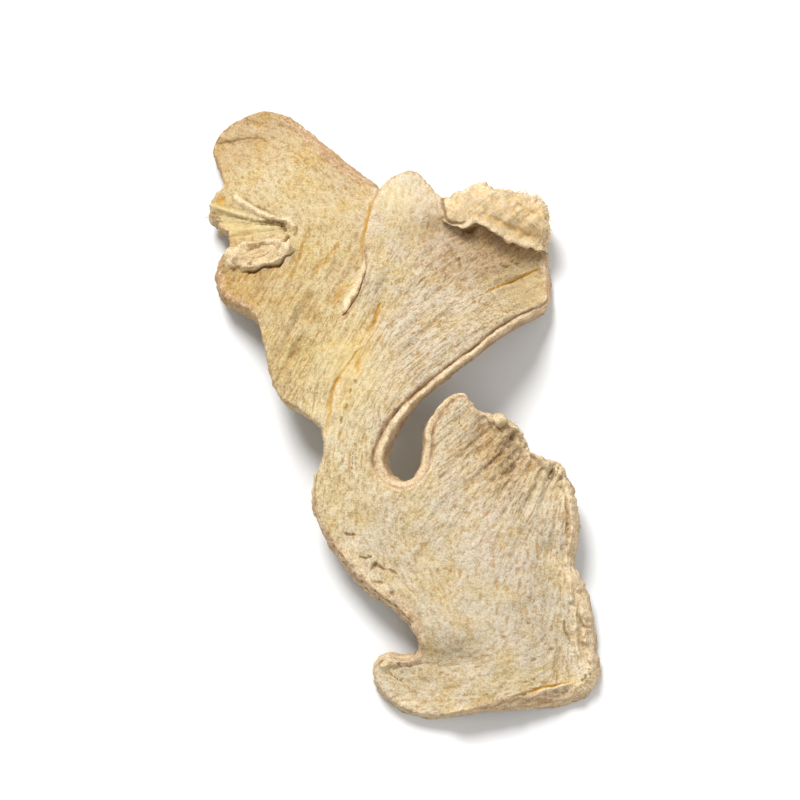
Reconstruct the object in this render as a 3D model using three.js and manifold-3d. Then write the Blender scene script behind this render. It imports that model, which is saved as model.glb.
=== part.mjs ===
// One dried slice of ginger root, in millimetres, +Z up, lying on the surface with its cut face up.
// The slice is cut lengthwise through a branching rhizome: two fingers and a broad body, with a deep bay
// between the middle finger and the body. It is made as a flat sheet trimmed to its outline, and the sheet is
// then curled into the dome that it took as it dried.

import * as THREE from 'three';
import { mergeVertices } from 'three/addons/utils/BufferGeometryUtils.js';
import Module from 'manifold-3d';

const wasm = await Module();
wasm.setup();

// Driving dimensions

const FLESH = 1.9; // thickness in the middle of the slice
const RIM_FLESH = 2.7; // thickness at the rim, where the skin held the flesh from shrinking
const RIM_REACH = 5; // how far in from the rim the slice is thicker
const FACET = 1.5; // spacing of the sheet's facets
const OUTLINE_STEPS = 3; // straight steps between two outline points
const SPOT_REACH = 5.5; // how far each spot height spreads
const RIM_SLOPE = 6; // width of the border that gives way to the slanted rim
const FOOT_HEIGHT = 0.5; // height of the middle of the sheet at each of its four feet
const FOOT_REACH = 5; // how far each foot spreads
const FOOT_TRIM = 0.3; // depth worn off the feet, which leaves each a small flat

// Outline of the slice's underside, clockwise seen from above: x, y, and how wide the skin of the slanted rim
// shows from above.

const LEFT_FINGER_TIP = [
  [-25.2, 36.6, 0.2],
  [-24.1, 39, 0.2],
  [-21.6, 41, 0.2],
  [-18.5, 42.2, 0.3],
  [-15.8, 42, 0.8],
  [-13.9, 40.9, 1.7],
];
const LEFT_FINGER_RIGHT_RIM = [
  [-10.3, 37.5, 2.5],
  [-6.5, 33.6, 2.4],
  [-3.4, 29.9, 0.8],
];
const SLIT = [
  [-3.1, 26.8, 0.3],
  [-4.35, 21.6, 0.1],
  [-4.95, 16.8, 0.05],
  [-6.1, 13, 0.05],
  [-7.7, 10.6, 0.1],
  [-5.75, 13, 0.05],
  [-4.55, 16.8, 0.05],
  [-3.95, 21.6, 0.1],
  [-2.7, 26.8, 0.2],
  [-2, 28.9, 0.3],
];
const MIDDLE_FINGER_CROWN = [
  [-0.2, 30.8, 0.3],
  [1.7, 31.8, 0.3],
  [3.4, 30.8, 0.5],
  [4.6, 28.9, 0.8],
];
const TORN_END = [
  [6, 27.6, 0.4],
  [8.2, 28.7, 0.3],
  [10.5, 30.4, 0.3],
  [12.2, 29.2, 0.3],
  [15.1, 29.1, 0.3],
  [17.6, 28.6, 0.3],
  [19.1, 26.7, 0.3],
  [19.3, 23.9, 0.6],
];
const MIDDLE_FINGER_TIP = [
  [19.4, 20.7, 1.1],
  [19.7, 17.8, 1.3],
  [19.2, 14.7, 0.9],
];
const BAY_UPPER_RIM = [
  [16.1, 11.6, 0.9],
  [11.8, 7.9, 0.9],
  [9.4, 5.5, 0.9],
  [6.8, 3.3, 1],
  [4.8, 1.5, 1.1],
  [2, -1.2, 1.3],
  [0, -4, 1.8],
  [-1.4, -6.4, 2],
  [-1.9, -8.6, 2.1],
];
const BAY_FLOOR = [
  [-1.2, -10.5, 1.6],
  [0.3, -11.2, 1.7],
  [1.6, -10.3, 1.6],
];
const BAY_LOWER_RIM = [
  [2.5, -7.5, 1.5],
  [2.7, -4.8, 1.4],
  [4.1, -2.2, 1.1],
  [6, -0.2, 0.9],
  [7.8, 0.4, 0.8],
];
const SHOULDER = [
  [9.4, -1.2, 0.8],
  [11.3, -1.9, 0.7],
  [13.9, -2.7, 0.8],
  [15.8, -5.1, 0.9],
  [17.6, -7.2, 0.8],
  [20.2, -7.7, 0.8],
];
const RIGHT_FLANK = [
  [21.6, -10, 1],
  [22.7, -13.8, 1.2],
  [22.7, -17.8, 1.4],
  [22.3, -21.1, 1.6],
  [23.7, -23.8, 1.6],
  [24.6, -27.6, 1.5],
  [25, -31.8, 1.4],
  [25.4, -34.5, 1.2],
  [24.1, -37, 1.5],
];
const FOOT = [
  [20.8, -38.7, 1.7],
  [15.5, -39.6, 2],
  [10.3, -40, 0.7],
  [5, -40.4, 0.3],
  [0.8, -39.8, 0.3],
  [-1.9, -38.1, 0.3],
];
const HOOK = [
  [-3.6, -36, 0.3],
  [-3.6, -33.6, 0.3],
  [-2.1, -32.4, 0.5],
  [0.2, -32.6, 0.6],
  [1.9, -32.1, 0.4],
];
const LEFT_FLANK = [
  [0.8, -29.6, 0.9],
  [-1.7, -27, 1],
  [-4.6, -25, 1],
  [-7.8, -21.3, 0.9],
  [-10.5, -17.1, 0.7],
  [-11.8, -13.3, 0.5],
  [-11.5, -10.8, 0.4],
  [-10.3, -7.4, 0.4],
  [-10.5, -4.3, 0.3],
  [-13, -1.8, 0.3],
];
const LEFT_FINGER_LOWER_EDGE = [
  [-15.5, 0.1, 0.3],
  [-17.2, 3.7, 0.3],
  [-18.1, 8.1, 0.3],
  [-19.1, 11.4, 0.4],
  [-21.6, 13.5, 0.5],
  [-23.9, 15.2, 0.6],
  [-24.8, 18.2, 0.7],
  [-24.1, 20.9, 0.6],
];
const BUD_SCAR_EDGE = [
  [-22.7, 22.6, 0.4],
  [-23.7, 24.7, 0.3],
  [-25.4, 26.7, 0.3],
  [-25.2, 29.2, 0.3],
  [-23.7, 30.9, 0.3],
  [-24.4, 33.9, 0.2],
];
const OUTLINE = [
  ...LEFT_FINGER_TIP,
  ...LEFT_FINGER_RIGHT_RIM,
  ...SLIT,
  ...MIDDLE_FINGER_CROWN,
  ...TORN_END,
  ...MIDDLE_FINGER_TIP,
  ...BAY_UPPER_RIM,
  ...BAY_FLOOR,
  ...BAY_LOWER_RIM,
  ...SHOULDER,
  ...RIGHT_FLANK,
  ...FOOT,
  ...HOOK,
  ...LEFT_FLANK,
  ...LEFT_FINGER_LOWER_EDGE,
  ...BUD_SCAR_EDGE,
];

// Places where the slice touches the surface: the tips of the two fingers and both ends of the foot.

const FEET = [
  [-19, 40],
  [18.8, 18],
  [23, -36],
  [1.5, -39],
];

// Heights of the middle of the sheet: x, y, z.

const SPOT_HEIGHTS = [
  [-25, 36.5, 0.6], // left finger, tip corner
  [-18, 41.8, 0.4], // left finger, tip
  [-12.5, 39.5, 1.8], // left finger, right side of the tip
  [-16, 31.5, 5], // left finger, upper part
  [-7.5, 33, 4], // left finger, right rim
  [-12.8, 22.5, 6.6], // left finger, middle
  [-24.8, 24, 2.6], // left finger, bud scar
  [-24.4, 16, 2], // left finger, lower corner
  [-15, 11.5, 7.4], // left finger, root
  [-17.5, 3, 5], // left finger, lower edge
  [-6, 12, 8.8], // end of the slit
  [1.7, 32, 5], // middle finger, crown
  [-1, 22, 8], // middle finger, left side
  [6.5, 19.5, 7], // middle finger, hollow below the torn end
  [12.5, 28.5, 4.6], // torn end
  [18.5, 26.5, 2.4], // torn end, right side
  [19.6, 17.8, 0.6], // middle finger, tip
  [12, 13, 8], // middle finger, crest towards the tip
  [1, 3, 10.6], // middle finger, crest at the bay
  [-5, 2, 10.4], // fork of the two fingers
  [-8.8, -8, 8.6], // waist
  [-12, -12, 5.6], // waist, left edge
  [0, -12, 9.8], // end of the bay
  [7, -0.5, 8.6], // shoulder
  [19.8, -8, 5], // shoulder, right corner
  [10.5, -13, 9], // body, upper part
  [23, -17.5, 3.8], // right flank
  [7, -24, 8], // body, middle
  [-8.8, -20.5, 4.6], // left flank
  [24.8, -30.5, 1.8], // right flank, lower part
  [25, -36.8, 0.2], // right heel
  [11.5, -34, 5], // body, lower part
  [10.5, -41, 1], // foot
  [0.8, -40.6, 0.5], // foot, left end
  [-3.4, -35.5, 1.4], // hook
  [-1.2, -27.5, 4.8], // left flank, above the hook
];

// Folds that bend the whole sheet: a line of points, the rise along it and its half width. A valley's rise is
// negative.

const FOLDS = [
  { rise: 2, width: 2.6, line: [[8, 26.8], [12, 27], [17, 25.4]] }, // torn end, turned up
  { rise: -1, width: 1.7, line: [[4.5, 23], [10, 21.8], [17, 19.6]] }, // hollow below the torn end
  { rise: 0.9, width: 3, line: [[15, 14.5], [7, 6.5], [-1.5, -2]] }, // crest along the bay
  { rise: -0.25, width: 1.3, line: [[-4.6, 9.5], [-6.5, 4.5], [-9.4, -0.5], [-10, -5]] }, // crease of the fork
  { rise: 0.6, width: 1.6, line: [[-7.4, 8.4], [-10.4, 2]] }, // rib beside the crease
  { rise: -0.25, width: 1.2, line: [[-25, 36], [-21, 37.8], [-16.5, 38.8]] }, // crease across the left tip
  { rise: -0.5, width: 1.3, line: [[1.5, -32.6], [5, -33.4], [9, -33.4]] }, // fold that runs in from the hook
  { rise: 0.6, width: 3.5, line: [[1, -14], [2, -22], [4, -29]] }, // soft ridge down the body
  { rise: -0.7, width: 1.1, line: [[10.6, -1.6], [9.8, -7]] }, // shoulder pucker, left
  { rise: 0.6, width: 1.1, line: [[12.8, -2.6], [11.6, -8]] }, // shoulder pucker, ridge
  { rise: -0.7, width: 1.1, line: [[15.4, -5], [13.6, -9.5]] }, // shoulder pucker, right
  { rise: 0.6, width: 1.2, line: [[18, -7.4], [16, -12]] }, // shoulder pucker, corner
  { rise: -0.7, width: 1.6, line: [[22.5, -20.5], [18.5, -19.5]] }, // dent in the right flank
  { rise: -0.8, width: 1.7, line: [[-24.5, 25.2], [-19, 24.6], [-15.4, 23.6]] }, // pocket of the bud scar
  { rise: 0.8, width: 1.1, line: [[-22.6, 20.6], [-18.5, 19.8], [-15.4, 21]] }, // lip of the bud scar
];

// The slit parts the fingers, from its root to its mouth. The middle finger rides up, and towards the mouth
// it lies over the left one.

const SLIT_LINE = [
  [-7.7, 10.6],
  [-5.9, 13],
  [-4.75, 16.8],
  [-4.15, 21.6],
  [-2.9, 26.8],
  [-2.6, 29.2],
];
const SLIT_STEP = 1.6; // how far each finger moves up or down
const SLIT_LAP = 0.9; // how far each finger moves across, towards the other
const SLIT_REACH = 5; // how far from the slit these fade out

const outlineCurve = new THREE.CatmullRomCurve3(
  OUTLINE.map(([x, y, rim]) => new THREE.Vector3(x, y, rim)),
  true,
  'centripetal',
);
const outline = outlineCurve.getPoints(OUTLINE.length * OUTLINE_STEPS).slice(0, -1);
const inwards = outline.map((_, i) => {
  const before = outline.at(i - 1);
  const after = outline[(i + 1) % outline.length];
  return new THREE.Vector2(after.y - before.y, before.x - after.x).normalize();
});

// Solid from a closed geometry, for joining and cutting.
function solidFrom(geometry) {
  geometry.deleteAttribute('normal');
  geometry.deleteAttribute('uv');
  const merged = mergeVertices(geometry, 1e-5);
  const vertProperties = new Float32Array(merged.attributes.position.array);
  const triVerts = new Uint32Array(merged.index.array);
  return new wasm.Manifold(new wasm.Mesh({ numProp: 3, vertProperties, triVerts }));
}

// Geometry of a solid, with each vertex moved by place(x, y, z).
function geometryFrom(solid, place = (x, y, z) => [x, y, z]) {
  const mesh = solid.getMesh();
  const position = [];
  for (let i = 0; i < mesh.vertProperties.length; i += mesh.numProp) {
    position.push(...place(...mesh.vertProperties.slice(i, i + 3)));
  }
  const geometry = new THREE.BufferGeometry();
  geometry.setAttribute('position', new THREE.Float32BufferAttribute(position, 3));
  geometry.setIndex(Array.from(mesh.triVerts));
  return geometry;
}

// Flat sheet of facets, trimmed to the outline. Its faces lie at z = 1 and z = -1.
function flatSlice() {
  const box = new THREE.Box3().setFromPoints(outline);
  const size = box.getSize(new THREE.Vector3());
  const centre = box.getCenter(new THREE.Vector3());
  const across = Math.ceil(size.x / FACET) + 1;
  const along = Math.ceil(size.y / FACET) + 1;
  const sheet = new THREE.BoxGeometry(across * FACET, along * FACET, 2, across, along, 1);
  sheet.translate(centre.x, centre.y, 0);
  const shape = new THREE.Shape(outline.map((p) => new THREE.Vector2(p.x, p.y)));
  const trim = new THREE.ExtrudeGeometry(shape, { depth: 4, bevelEnabled: false });
  trim.translate(0, 0, -2);
  return solidFrom(sheet).intersect(solidFrom(trim));
}

// Nearest point of a line of points to x, y: the way to it, the two points it lies between, and where.
function nearestOn(line, x, y, closed) {
  let best = { distance: Infinity };
  const steps = closed ? line.length : line.length - 1;
  for (let from = 0; from < steps; from += 1) {
    const to = (from + 1) % line.length;
    const a = line[from];
    const b = line[to];
    const dx = b.x - a.x;
    const dy = b.y - a.y;
    const along = ((x - a.x) * dx + (y - a.y) * dy) / (dx * dx + dy * dy);
    const t = THREE.MathUtils.clamp(along, 0, 1);
    const away = new THREE.Vector2(x - a.x - t * dx, y - a.y - t * dy);
    const distance = away.length();
    if (distance < best.distance) best = { away, distance, from, to, t };
  }
  return best;
}

const foldLines = FOLDS.map(({ rise, width, line }) => {
  const points = line.map(([x, y]) => new THREE.Vector2(x, y));
  return { rise, width, points };
});

// Height of the middle of the domed sheet, before it is folded.
function domeHeight(x, y) {
  let weights = 0;
  let sum = 0;
  for (const [spotX, spotY, height] of SPOT_HEIGHTS) {
    const square = (x - spotX) ** 2 + (y - spotY) ** 2;
    const weight = Math.exp(-square / (2 * SPOT_REACH ** 2));
    weights += weight;
    sum += weight * height;
  }
  return sum / weights;
}

// Unit vector that points up out of the domed sheet.
function domeNormal(x, y) {
  const step = 0.1;
  const slopeX = (domeHeight(x + step, y) - domeHeight(x - step, y)) / (2 * step);
  const slopeY = (domeHeight(x, y + step) - domeHeight(x, y - step)) / (2 * step);
  return new THREE.Vector3(-slopeX, -slopeY, 1).normalize();
}

// Height of the middle of the folded sheet, which comes down to one level at its feet.
function sheetHeight(x, y) {
  let height = domeHeight(x, y);
  for (const { rise, width, points } of foldLines) {
    const { distance } = nearestOn(points, x, y, false);
    height += rise * Math.exp(-((distance / width) ** 2));
  }
  for (const [footX, footY] of FEET) {
    const square = (x - footX) ** 2 + (y - footY) ** 2;
    height = THREE.MathUtils.lerp(height, FOOT_HEIGHT, Math.exp(-square / FOOT_REACH ** 2));
  }
  return height;
}

// X of the slit's line at a given y.
function slitX(y) {
  const after = SLIT_LINE.findIndex(([, lineY]) => lineY > y);
  if (after === 0) return SLIT_LINE[0][0];
  if (after < 0) return SLIT_LINE.at(-1)[0];
  const [x0, y0] = SLIT_LINE[after - 1];
  const [x1, y1] = SLIT_LINE[after];
  return THREE.MathUtils.mapLinear(y, y0, y1, x0, x1);
}

// How the slit moves a point: across to the middle of the slit, and up or down. Both grow from its root.
function slitMove(x, y) {
  const along = (y - SLIT_LINE[0][1]) / (SLIT_LINE.at(-1)[1] - SLIT_LINE[0][1]);
  const aside = x - slitX(y);
  const share = Math.sign(aside) * Math.exp(-((aside / SLIT_REACH) ** 2));
  const across = -share * SLIT_LAP * THREE.MathUtils.smoothstep(along, 0.25, 0.6);
  const up = share * SLIT_STEP * THREE.MathUtils.smoothstep(along, 0, 0.3);
  return { across, up };
}

// Place in the curled slice of a point of the flat sheet. The upper face draws in from the outline by the
// width of the rim, and both faces stand off the middle of the sheet along its normal.
function curled(flatX, flatY, face) {
  const { away, distance, from, to, t } = nearestOn(outline, flatX, flatY, true);
  const rim = THREE.MathUtils.lerp(outline[from].z, outline[to].z, t);
  const onOutline = distance < 0.01;
  const inward = onOutline ? inwards[from].clone().lerp(inwards[to], t) : away;
  inward.normalize();
  const give = Math.max(0, 1 - distance / RIM_SLOPE) ** 2;
  const drawn = face > 0 ? rim * give : 0;
  const x = flatX + inward.x * drawn;
  const y = flatY + inward.y * drawn;
  const flesh = FLESH + (RIM_FLESH - FLESH) * Math.exp(-distance / RIM_REACH);
  const offset = domeNormal(x, y).multiplyScalar((face * flesh) / 2);
  const { across, up } = slitMove(flatX, flatY);
  return [x + offset.x + across, y + offset.y, sheetHeight(x, y) + up + offset.z];
}

// The slice, set down on its four feet with the middle of its box over the origin.
function gingerSlice() {
  const curledSolid = solidFrom(geometryFrom(flatSlice(), curled));
  const low = curledSolid.boundingBox().min[2];
  const floor = new THREE.BoxGeometry(200, 200, 20);
  floor.translate(0, 0, low + FOOT_TRIM - 10);
  const geometry = geometryFrom(curledSolid.subtract(solidFrom(floor)));
  geometry.computeBoundingBox();
  const centre = geometry.boundingBox.getCenter(new THREE.Vector3());
  geometry.translate(-centre.x, -centre.y, -geometry.boundingBox.min.z);
  geometry.computeVertexNormals();
  const driedFlesh = new THREE.MeshStandardMaterial({ color: 0xdcc395, roughness: 0.85, metalness: 0 });
  const slice = new THREE.Mesh(geometry, driedFlesh);
  slice.name = 'ginger_slice';
  return slice;
}

const part = new THREE.Group();
part.add(gingerSlice());

export default part;
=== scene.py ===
"""One dried slice of ginger root, lying cut face up on a pale floor.

The slice's shape is worked out in millimetres on its plan, as a flat sheet that is then curled.
The mesh is made in metres, in the part's own frame.
"""

import math

import bpy
import numpy as np
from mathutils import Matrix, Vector
from mathutils.geometry import delaunay_2d_cdt
from mathutils.kdtree import KDTree


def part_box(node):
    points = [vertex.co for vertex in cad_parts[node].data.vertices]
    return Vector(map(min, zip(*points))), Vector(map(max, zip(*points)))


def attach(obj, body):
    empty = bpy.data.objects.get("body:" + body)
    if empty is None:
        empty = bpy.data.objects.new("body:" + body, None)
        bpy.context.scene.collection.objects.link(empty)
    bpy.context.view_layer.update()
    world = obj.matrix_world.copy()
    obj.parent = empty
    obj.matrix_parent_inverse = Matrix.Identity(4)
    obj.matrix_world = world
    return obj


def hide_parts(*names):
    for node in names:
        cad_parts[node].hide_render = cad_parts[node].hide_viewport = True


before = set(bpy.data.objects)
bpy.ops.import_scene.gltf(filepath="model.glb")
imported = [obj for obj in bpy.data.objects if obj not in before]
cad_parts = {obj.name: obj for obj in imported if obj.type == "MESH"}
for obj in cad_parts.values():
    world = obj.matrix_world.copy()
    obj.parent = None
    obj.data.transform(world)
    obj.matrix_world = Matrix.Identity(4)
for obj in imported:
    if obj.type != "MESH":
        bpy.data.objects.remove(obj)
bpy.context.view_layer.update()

MM = 0.001

# Stage, in metres

FLOOR_LEVEL = -0.05 * MM  # a hair below the slice, so that its flats do not flicker
FLOOR_REACH = 3
FLOOR_GREY = 0.86
LIGHTS = [  # name, place, size, watts
    ("key", (-0.25, 0.52, 0.74), 0.4, 9.7),
    ("fill", (0.45, -0.45, 0.7), 0.8, 2.4),
]
AMBIENT_LIGHT = 0.4
CAMERA_TARGET = (0, 0, 0.005)
CAMERA_DISTANCE = 0.52
CAMERA_ELEVATION = 73  # degrees above the floor
CAMERA_LENS = 180

# Sheet, as in the solid

FLESH = 1.9  # thickness in the middle of the slice
RIM_FLESH = 2.7  # thickness at the rim
RIM_REACH = 5  # how far in from the rim the slice is thicker
SPOT_REACH = 5.5  # how far each spot height spreads
RIM_SLOPE = 6  # width of the border that gives way to the slanted rim
FOOT_HEIGHT = 0.5  # height of the middle of the sheet at each foot
FOOT_REACH = 5  # how far each foot spreads
FOOT_TRIM = 0.3  # depth worn off the feet

# Fineness of the mesh

CURVE_STEPS = 40  # between two points of the outline
OUTLINE_SPACING = 0.22
TOP_SPACING = 0.24
DETAIL_SPACING = 0.12  # beside cracks and torn edges
DETAIL_REACH = 0.5
UNDERSIDE_SPACING = 0.5
GRID_ROWS = 0.866  # how far apart the rows of points are, in spacings
GRID_SHAKE = 0.16  # how far the points are shaken, in spacings
RIM_ROWS = (0.04, 0.08, 0.13, 0.19, 0.26, 0.35, 0.45, 0.56, 0.67, 0.78, 0.9)

# Texture map: the upper face on the left, and on the right the underside, the rim in strips and the fibres

MAP_SIDE = 86  # the map's side, in millimetres of the upper face
MAP_MARGIN = 0.5
MAP_COLUMN = 52  # where the right part starts
SMALL_SCALE = 0.62  # scale of the right part
STRIP_LENGTH = 53  # length of the rim in each strip
STRIP_HEIGHT = 3.6
STRIP_GAP = 0.6
FIBRE_CELL = (1.5, 2.3)  # size of one fibre's cell
FIBRE_COLUMNS = 22
FIBRE_ROWS = 7

# Outline of the underside, clockwise from above: x, y, and how wide the skin of the rim shows from above

OUTLINE = [
    # left finger, tip
    (-25.2, 36.6, 0.2), (-24.1, 39, 0.2), (-21.6, 41, 0.2), (-18.5, 42.2, 0.3), (-15.8, 42, 0.8),
    (-13.9, 40.9, 1.7),
    # left finger, right rim
    (-10.3, 37.5, 2.5), (-6.5, 33.6, 2.4), (-3.4, 29.9, 0.8),
    # slit between the fingers
    (-3.1, 26.8, 0.3), (-4.35, 21.6, 0.1), (-4.95, 16.8, 0.05), (-6.1, 13, 0.05), (-7.7, 10.6, 0.1),
    (-5.75, 13, 0.05), (-4.55, 16.8, 0.05), (-3.95, 21.6, 0.1), (-2.7, 26.8, 0.2), (-2, 28.9, 0.3),
    # middle finger, crown
    (-0.2, 30.8, 0.3), (1.7, 31.8, 0.3), (3.4, 30.8, 0.5), (4.6, 28.9, 0.8),
    # middle finger, torn end
    (6, 27.6, 0.4), (8.2, 28.7, 0.3), (10.5, 30.4, 0.3), (12.2, 29.2, 0.3), (15.1, 29.1, 0.3),
    (17.6, 28.6, 0.3), (19.1, 26.7, 0.3), (19.3, 23.9, 0.6),
    # middle finger, tip
    (19.4, 20.7, 1.1), (19.7, 17.8, 1.3), (19.2, 14.7, 0.9),
    # bay, upper rim
    (16.1, 11.6, 0.9), (11.8, 7.9, 0.9), (9.4, 5.5, 0.9), (6.8, 3.3, 1), (4.8, 1.5, 1.1),
    (2, -1.2, 1.3), (0, -4, 1.8), (-1.4, -6.4, 2), (-1.9, -8.6, 2.1),
    # bay, floor
    (-1.2, -10.5, 1.6), (0.3, -11.2, 1.7), (1.6, -10.3, 1.6),
    # bay, lower rim
    (2.5, -7.5, 1.5), (2.7, -4.8, 1.4), (4.1, -2.2, 1.1), (6, -0.2, 0.9), (7.8, 0.4, 0.8),
    # shoulder
    (9.4, -1.2, 0.8), (11.3, -1.9, 0.7), (13.9, -2.7, 0.8), (15.8, -5.1, 0.9), (17.6, -7.2, 0.8),
    (20.2, -7.7, 0.8),
    # right flank
    (21.6, -10, 1), (22.7, -13.8, 1.2), (22.7, -17.8, 1.4), (22.3, -21.1, 1.6), (23.7, -23.8, 1.6),
    (24.6, -27.6, 1.5), (25, -31.8, 1.4), (25.4, -34.5, 1.2), (24.1, -37, 1.5),
    # foot
    (20.8, -38.7, 1.7), (15.5, -39.6, 2), (10.3, -40, 0.7), (5, -40.4, 0.3), (0.8, -39.8, 0.3),
    (-1.9, -38.1, 0.3),
    # hook
    (-3.6, -36, 0.3), (-3.6, -33.6, 0.3), (-2.1, -32.4, 0.5), (0.2, -32.6, 0.6), (1.9, -32.1, 0.4),
    # left flank
    (0.8, -29.6, 0.9), (-1.7, -27, 1), (-4.6, -25, 1), (-7.8, -21.3, 0.9), (-10.5, -17.1, 0.7),
    (-11.8, -13.3, 0.5), (-11.5, -10.8, 0.4), (-10.3, -7.4, 0.4), (-10.5, -4.3, 0.3), (-13, -1.8, 0.3),
    # left finger, lower edge
    (-15.5, 0.1, 0.3), (-17.2, 3.7, 0.3), (-18.1, 8.1, 0.3), (-19.1, 11.4, 0.4), (-21.6, 13.5, 0.5),
    (-23.9, 15.2, 0.6), (-24.8, 18.2, 0.7), (-24.1, 20.9, 0.6),
    # left finger, edge at the bud scar
    (-22.7, 22.6, 0.4), (-23.7, 24.7, 0.3), (-25.4, 26.7, 0.3), (-25.2, 29.2, 0.3), (-23.7, 30.9, 0.3),
    (-24.4, 33.9, 0.2),
]

# Places where the slice touches the floor

FEET = [(-19, 40), (18.8, 18), (23, -36), (1.5, -39)]

# Heights of the middle of the sheet: x, y, z

SPOT_HEIGHTS = [
    # left finger
    (-25, 36.5, 0.6), (-18, 41.8, 0.4), (-12.5, 39.5, 1.8), (-16, 31.5, 5), (-7.5, 33, 4),
    (-12.8, 22.5, 6.6), (-24.8, 24, 2.6), (-24.4, 16, 2), (-15, 11.5, 7.4), (-17.5, 3, 5),
    (-6, 12, 8.8),
    # middle finger
    (1.7, 32, 5), (-1, 22, 8), (6.5, 19.5, 7), (12.5, 28.5, 4.6), (18.5, 26.5, 2.4), (19.6, 17.8, 0.6),
    (12, 13, 8), (1, 3, 10.6),
    # fork and waist
    (-5, 2, 10.4), (-8.8, -8, 8.6), (-12, -12, 5.6), (0, -12, 9.8),
    # body
    (7, -0.5, 8.6), (19.8, -8, 5), (10.5, -13, 9), (23, -17.5, 3.8), (7, -24, 8), (-8.8, -20.5, 4.6),
    (24.8, -30.5, 1.8), (25, -36.8, 0.2), (11.5, -34, 5), (10.5, -41, 1), (0.8, -40.6, 0.5),
    (-3.4, -35.5, 1.4), (-1.2, -27.5, 4.8),
]

# Folds that bend the whole sheet: rise, half width, line

FOLDS = [
    (2, 2.6, [(8, 26.8), (12, 27), (17, 25.4)]),  # torn end, turned up
    (-1, 1.7, [(4.5, 23), (10, 21.8), (17, 19.6)]),  # hollow below the torn end
    (0.9, 3, [(15, 14.5), (7, 6.5), (-1.5, -2)]),  # crest along the bay
    (-0.25, 1.3, [(-4.6, 9.5), (-6.5, 4.5), (-9.4, -0.5), (-10, -5)]),  # crease of the fork
    (0.6, 1.6, [(-7.4, 8.4), (-10.4, 2)]),  # rib beside the crease
    (-0.25, 1.2, [(-25, 36), (-21, 37.8), (-16.5, 38.8)]),  # crease across the left tip
    (-0.5, 1.3, [(1.5, -32.6), (5, -33.4), (9, -33.4)]),  # fold that runs in from the hook
    (0.6, 3.5, [(1, -14), (2, -22), (4, -29)]),  # soft ridge down the body
    (-0.7, 1.1, [(10.6, -1.6), (9.8, -7)]),  # shoulder pucker, left
    (0.6, 1.1, [(12.8, -2.6), (11.6, -8)]),  # shoulder pucker, ridge
    (-0.7, 1.1, [(15.4, -5), (13.6, -9.5)]),  # shoulder pucker, right
    (0.6, 1.2, [(18, -7.4), (16, -12)]),  # shoulder pucker, corner
    (-0.7, 1.6, [(22.5, -20.5), (18.5, -19.5)]),  # dent in the right flank
    (-0.8, 1.7, [(-24.5, 25.2), (-19, 24.6), (-15.4, 23.6)]),  # pocket of the bud scar
    (0.8, 1.1, [(-22.6, 20.6), (-18.5, 19.8), (-15.4, 21)]),  # lip of the bud scar
]

# Slit between the fingers

SLIT_LINE = [(-7.7, 10.6), (-5.9, 13), (-4.75, 16.8), (-4.15, 21.6), (-2.9, 26.8), (-2.6, 29.2)]
SLIT_STEP = 1.6  # how far each finger moves up or down
SLIT_LAP = 0.9  # how far each finger moves across, towards the other
SLIT_REACH = 5  # how far from the slit these fade out

# Fibres in the cut face: x, y, direction in degrees from +X, and how strongly they show

GRAIN = [
    (-20, 38, 150, 0.3), (-14, 33, 135, 0.2), (-20, 30, 115, 0.25), (-9, 30, 115, 0.2),
    (-13, 22, 80, 0.35), (-20, 15, 65, 0.4), (-13, 12, 62, 0.5), (-15, 4, 60, 0.5), (-8, 8, 58, 0.8),
    (-8, 0, 78, 0.9), (-9, -8, 85, 0.6), (-4, 8, 58, 0.7), (-2, 16, 66, 0.35), (-1, 25, 80, 0.2),
    (2, 29, 85, 0.2), (4, 14, 42, 0.8), (8, 21, 36, 0.6), (14, 17, 32, 0.7), (10, 11, 40, 0.9),
    (3, 5, 42, 0.9), (-3, -2, 55, 0.6), (-4, -12, 75, 0.3), (4, -13, 48, 0.5), (10, -8, 46, 0.8),
    (14, -10, 52, 1), (19, -14, 76, 0.7), (10, -18, 58, 0.25), (18, -24, 84, 0.3), (10, -27, 80, 0.1),
    (-4, -20, 118, 0.2), (2, -28, 125, 0.15), (14, -35, 20, 0.15), (6, -37, 12, 0.15), (0, -36, 5, 0.2),
    (23, -33, 95, 0.6),
]
GRAIN_REACH = 3.2  # how far each of these spreads

# Directions that the fine lines of the fibres are drawn in, in degrees from +X

LINE_WAYS = (10, 40, 62, 84, 125)
LINE_TURN = 24  # how far the fibres may turn from a direction before its lines fade out

# Soft patches of rougher flesh: middle, radii

LUMPY = (-13, 11, 6, 9)  # left finger
PUCKERED = (14.5, -8.5, 4, 3.5)  # shoulder

# Ridges and rolls on the upper face: rise, half width, how pale, line

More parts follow.
